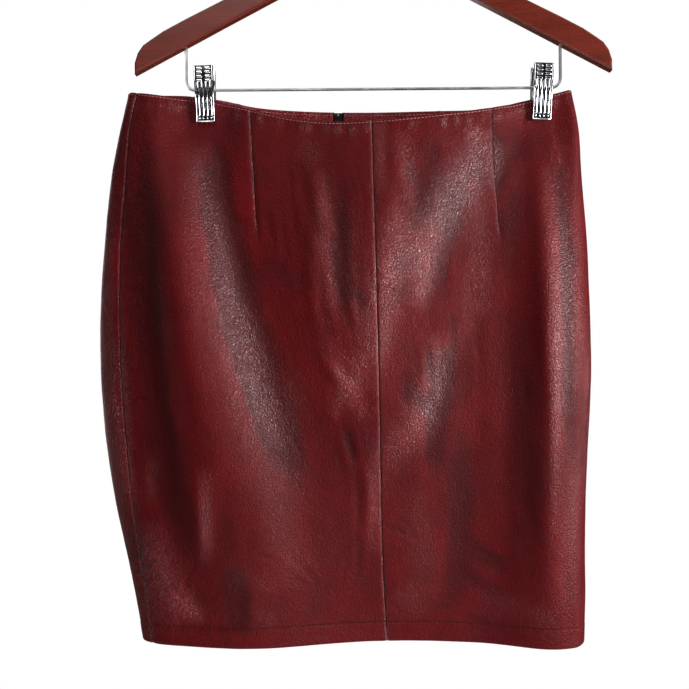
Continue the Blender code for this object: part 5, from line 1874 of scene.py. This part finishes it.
@dataclass(frozen=True)
class Studio:
    """The camera, lights, white surround and floor (m)."""

    eye: Places = (-0.0252, -0.85, -0.4619)
    lens: float = 47.55
    sensor: float = 36.0
    gamma: float = 0.85
    floor_radius: float = 1.75
    floor_level: float = -1.55
    low_light: Colour = (0.024, 0.025, 0.028)
    high_light: Colour = (0.85, 0.87, 0.90)
    lamps: tuple[Lamp, ...] = (
        Lamp("key_panel", (1.26, -0.98, -0.42), (0.0, 0.0, -0.48), 0.40, 1.1, 43.0),
        Lamp("side_panel", (1.6, -0.06, -0.48), (0.0, 0.0, -0.48), 0.5, 1.0, 15.0),
        Lamp("left_edge_panel", (-1.45, 0.45, -0.6), (0.0, 0.0, -0.48), 0.3, 0.9, 5.0),
        Lamp("high_front_panel", (-0.45, -1.15, 0.75), (0.0, 0.0, -0.45), 1.0, 0.7, 11.0),
        Lamp("low_front_panel", (-0.25, -1.35, -1.15), (0.0, 0.0, -0.65), 1.1, 0.5, 6.0),
        Lamp("back_panel", (-0.8, 1.3, -0.2), (0.0, 0.0, -0.48), 1.3, 1.4, 17.0),
    )

    def build(self, finishes: Finishes) -> None:
        """Set up the studio round the skirt.

        Args:
            finishes: The materials, for the floor.
        """
        scene = bpy.context.scene
        camera = bpy.data.cameras.new("camera")
        camera.lens, camera.sensor_width = self.lens, self.sensor
        scene.camera = bpy.data.objects.new("camera", camera)
        scene.camera.location = self.eye
        scene.camera.rotation_euler = (math.pi / 2.0, 0.0, 0.0)
        scene.collection.objects.link(scene.camera)
        scene.view_settings.view_transform = "Standard"
        scene.view_settings.gamma = self.gamma
        for lamp in self.lamps:
            lamp.build()
        self.surround()
        floor = bmesh.new()
        bmesh.ops.create_circle(floor, cap_ends=True, segments=64, radius=self.floor_radius,
                                matrix=Matrix.Translation((0.0, 0.0, self.floor_level)))
        linked("floor", floor, finishes.floor)

    def surround(self) -> None:
        """Surround the skirt with plain white that lights it softly from above."""
        world = bpy.data.worlds.new("white_surround")
        bpy.context.scene.world = world
        world.use_nodes = True
        board = NodeBoard(world.node_tree)
        generated = board.add("TexCoord").outputs["Generated"]
        upward = board.add("SeparateXYZ", {0: generated}).outputs[2]
        rays = board.add("LightPath").outputs
        overhead = board.math("MULTIPLY", board.ranged(upward, 0.50, 0.75), rays["Is Glossy Ray"])
        light = board.mix(overhead, self.low_light, self.high_light)
        soft = board.feed(world.node_tree.nodes["Background"], {"Color": light, "Strength": 1.0})
        white = board.add("Background", {"Color": (1.0, 1.0, 1.0, 1.0), "Strength": 1.0})
        both = board.add("MixShader", {0: rays["Is Camera Ray"], 1: soft.outputs[0],
                                       2: white.outputs[0]}).outputs[0]
        board.feed(world.node_tree.nodes["World Output"], {0: both})


# ---------------------------------------------------------------- the skirt and its hanger

def dress(material: Material, *nodes: str) -> None:
    """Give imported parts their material."""
    for node in nodes:
        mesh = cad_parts[node].data
        mesh.materials.clear()
        mesh.materials.append(material)
        LOG.info("%s: dressed in %s", node, material.name)


@dataclass(frozen=True)
class Hanger:
    """The hanger that holds the skirt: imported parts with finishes, and the clips' pressings."""

    clips: tuple[tuple[str, float], ...] = (("clip_left_", -1.0), ("clip_right_", 1.0))

    def build(self, finishes: Finishes) -> None:
        """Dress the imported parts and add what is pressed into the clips.

        Args:
            finishes: The materials.
        """
        dress(finishes.wire, "hanger_hook", "hanger_bar")
        dress(finishes.wood, "hanger_wood")
        for clip, side in self.clips:
            dress(finishes.chrome, clip + "spring", clip + "front", clip + "back")
            for face in Face:
                ClipPressings(clip + face.value, side, face).build(finishes)


class LeatherSkirt:
    """The whole skirt: four panels, their stitching, the back facing and the zip."""

    def __init__(self) -> None:
        """Work out the skin, its quarters and the leather's relief."""
        form = SkinForm()
        self.quarters = {name: Quarter(form, name) for name in QUARTER_ROWS}
        self.relief = Relief()

    def build(self, finishes: Finishes, spacing: float) -> None:
        """Build every piece of the skirt.

        Args:
            finishes: The materials.
            spacing: The widest gap in the panels' grids (mm).
        """
        for quarter in self.quarters.values():
            LeatherPanel(quarter, self.relief, spacing).build(finishes)
            if not quarter.is_front:
                BackFacing(quarter, self.relief).build(finishes)
        closure = CentreZip(self.quarters["back_left"], self.quarters["back_right"])
        for quarter in (closure.left, closure.right):
            closure.tape(quarter, finishes)
        closure.teeth(finishes)
        dress(finishes.nickel, "zip_slider", "zip_pull")


def main() -> None:
    """Build the skirt on its hanger in the studio."""
    logging.basicConfig(level=logging.INFO, format="%(message)s")
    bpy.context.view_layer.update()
    finishes = Finishes()
    LeatherSkirt().build(finishes, SPACING)
    Hanger().build(finishes)
    Studio().build(finishes)


if __name__ == "__main__":
    main()
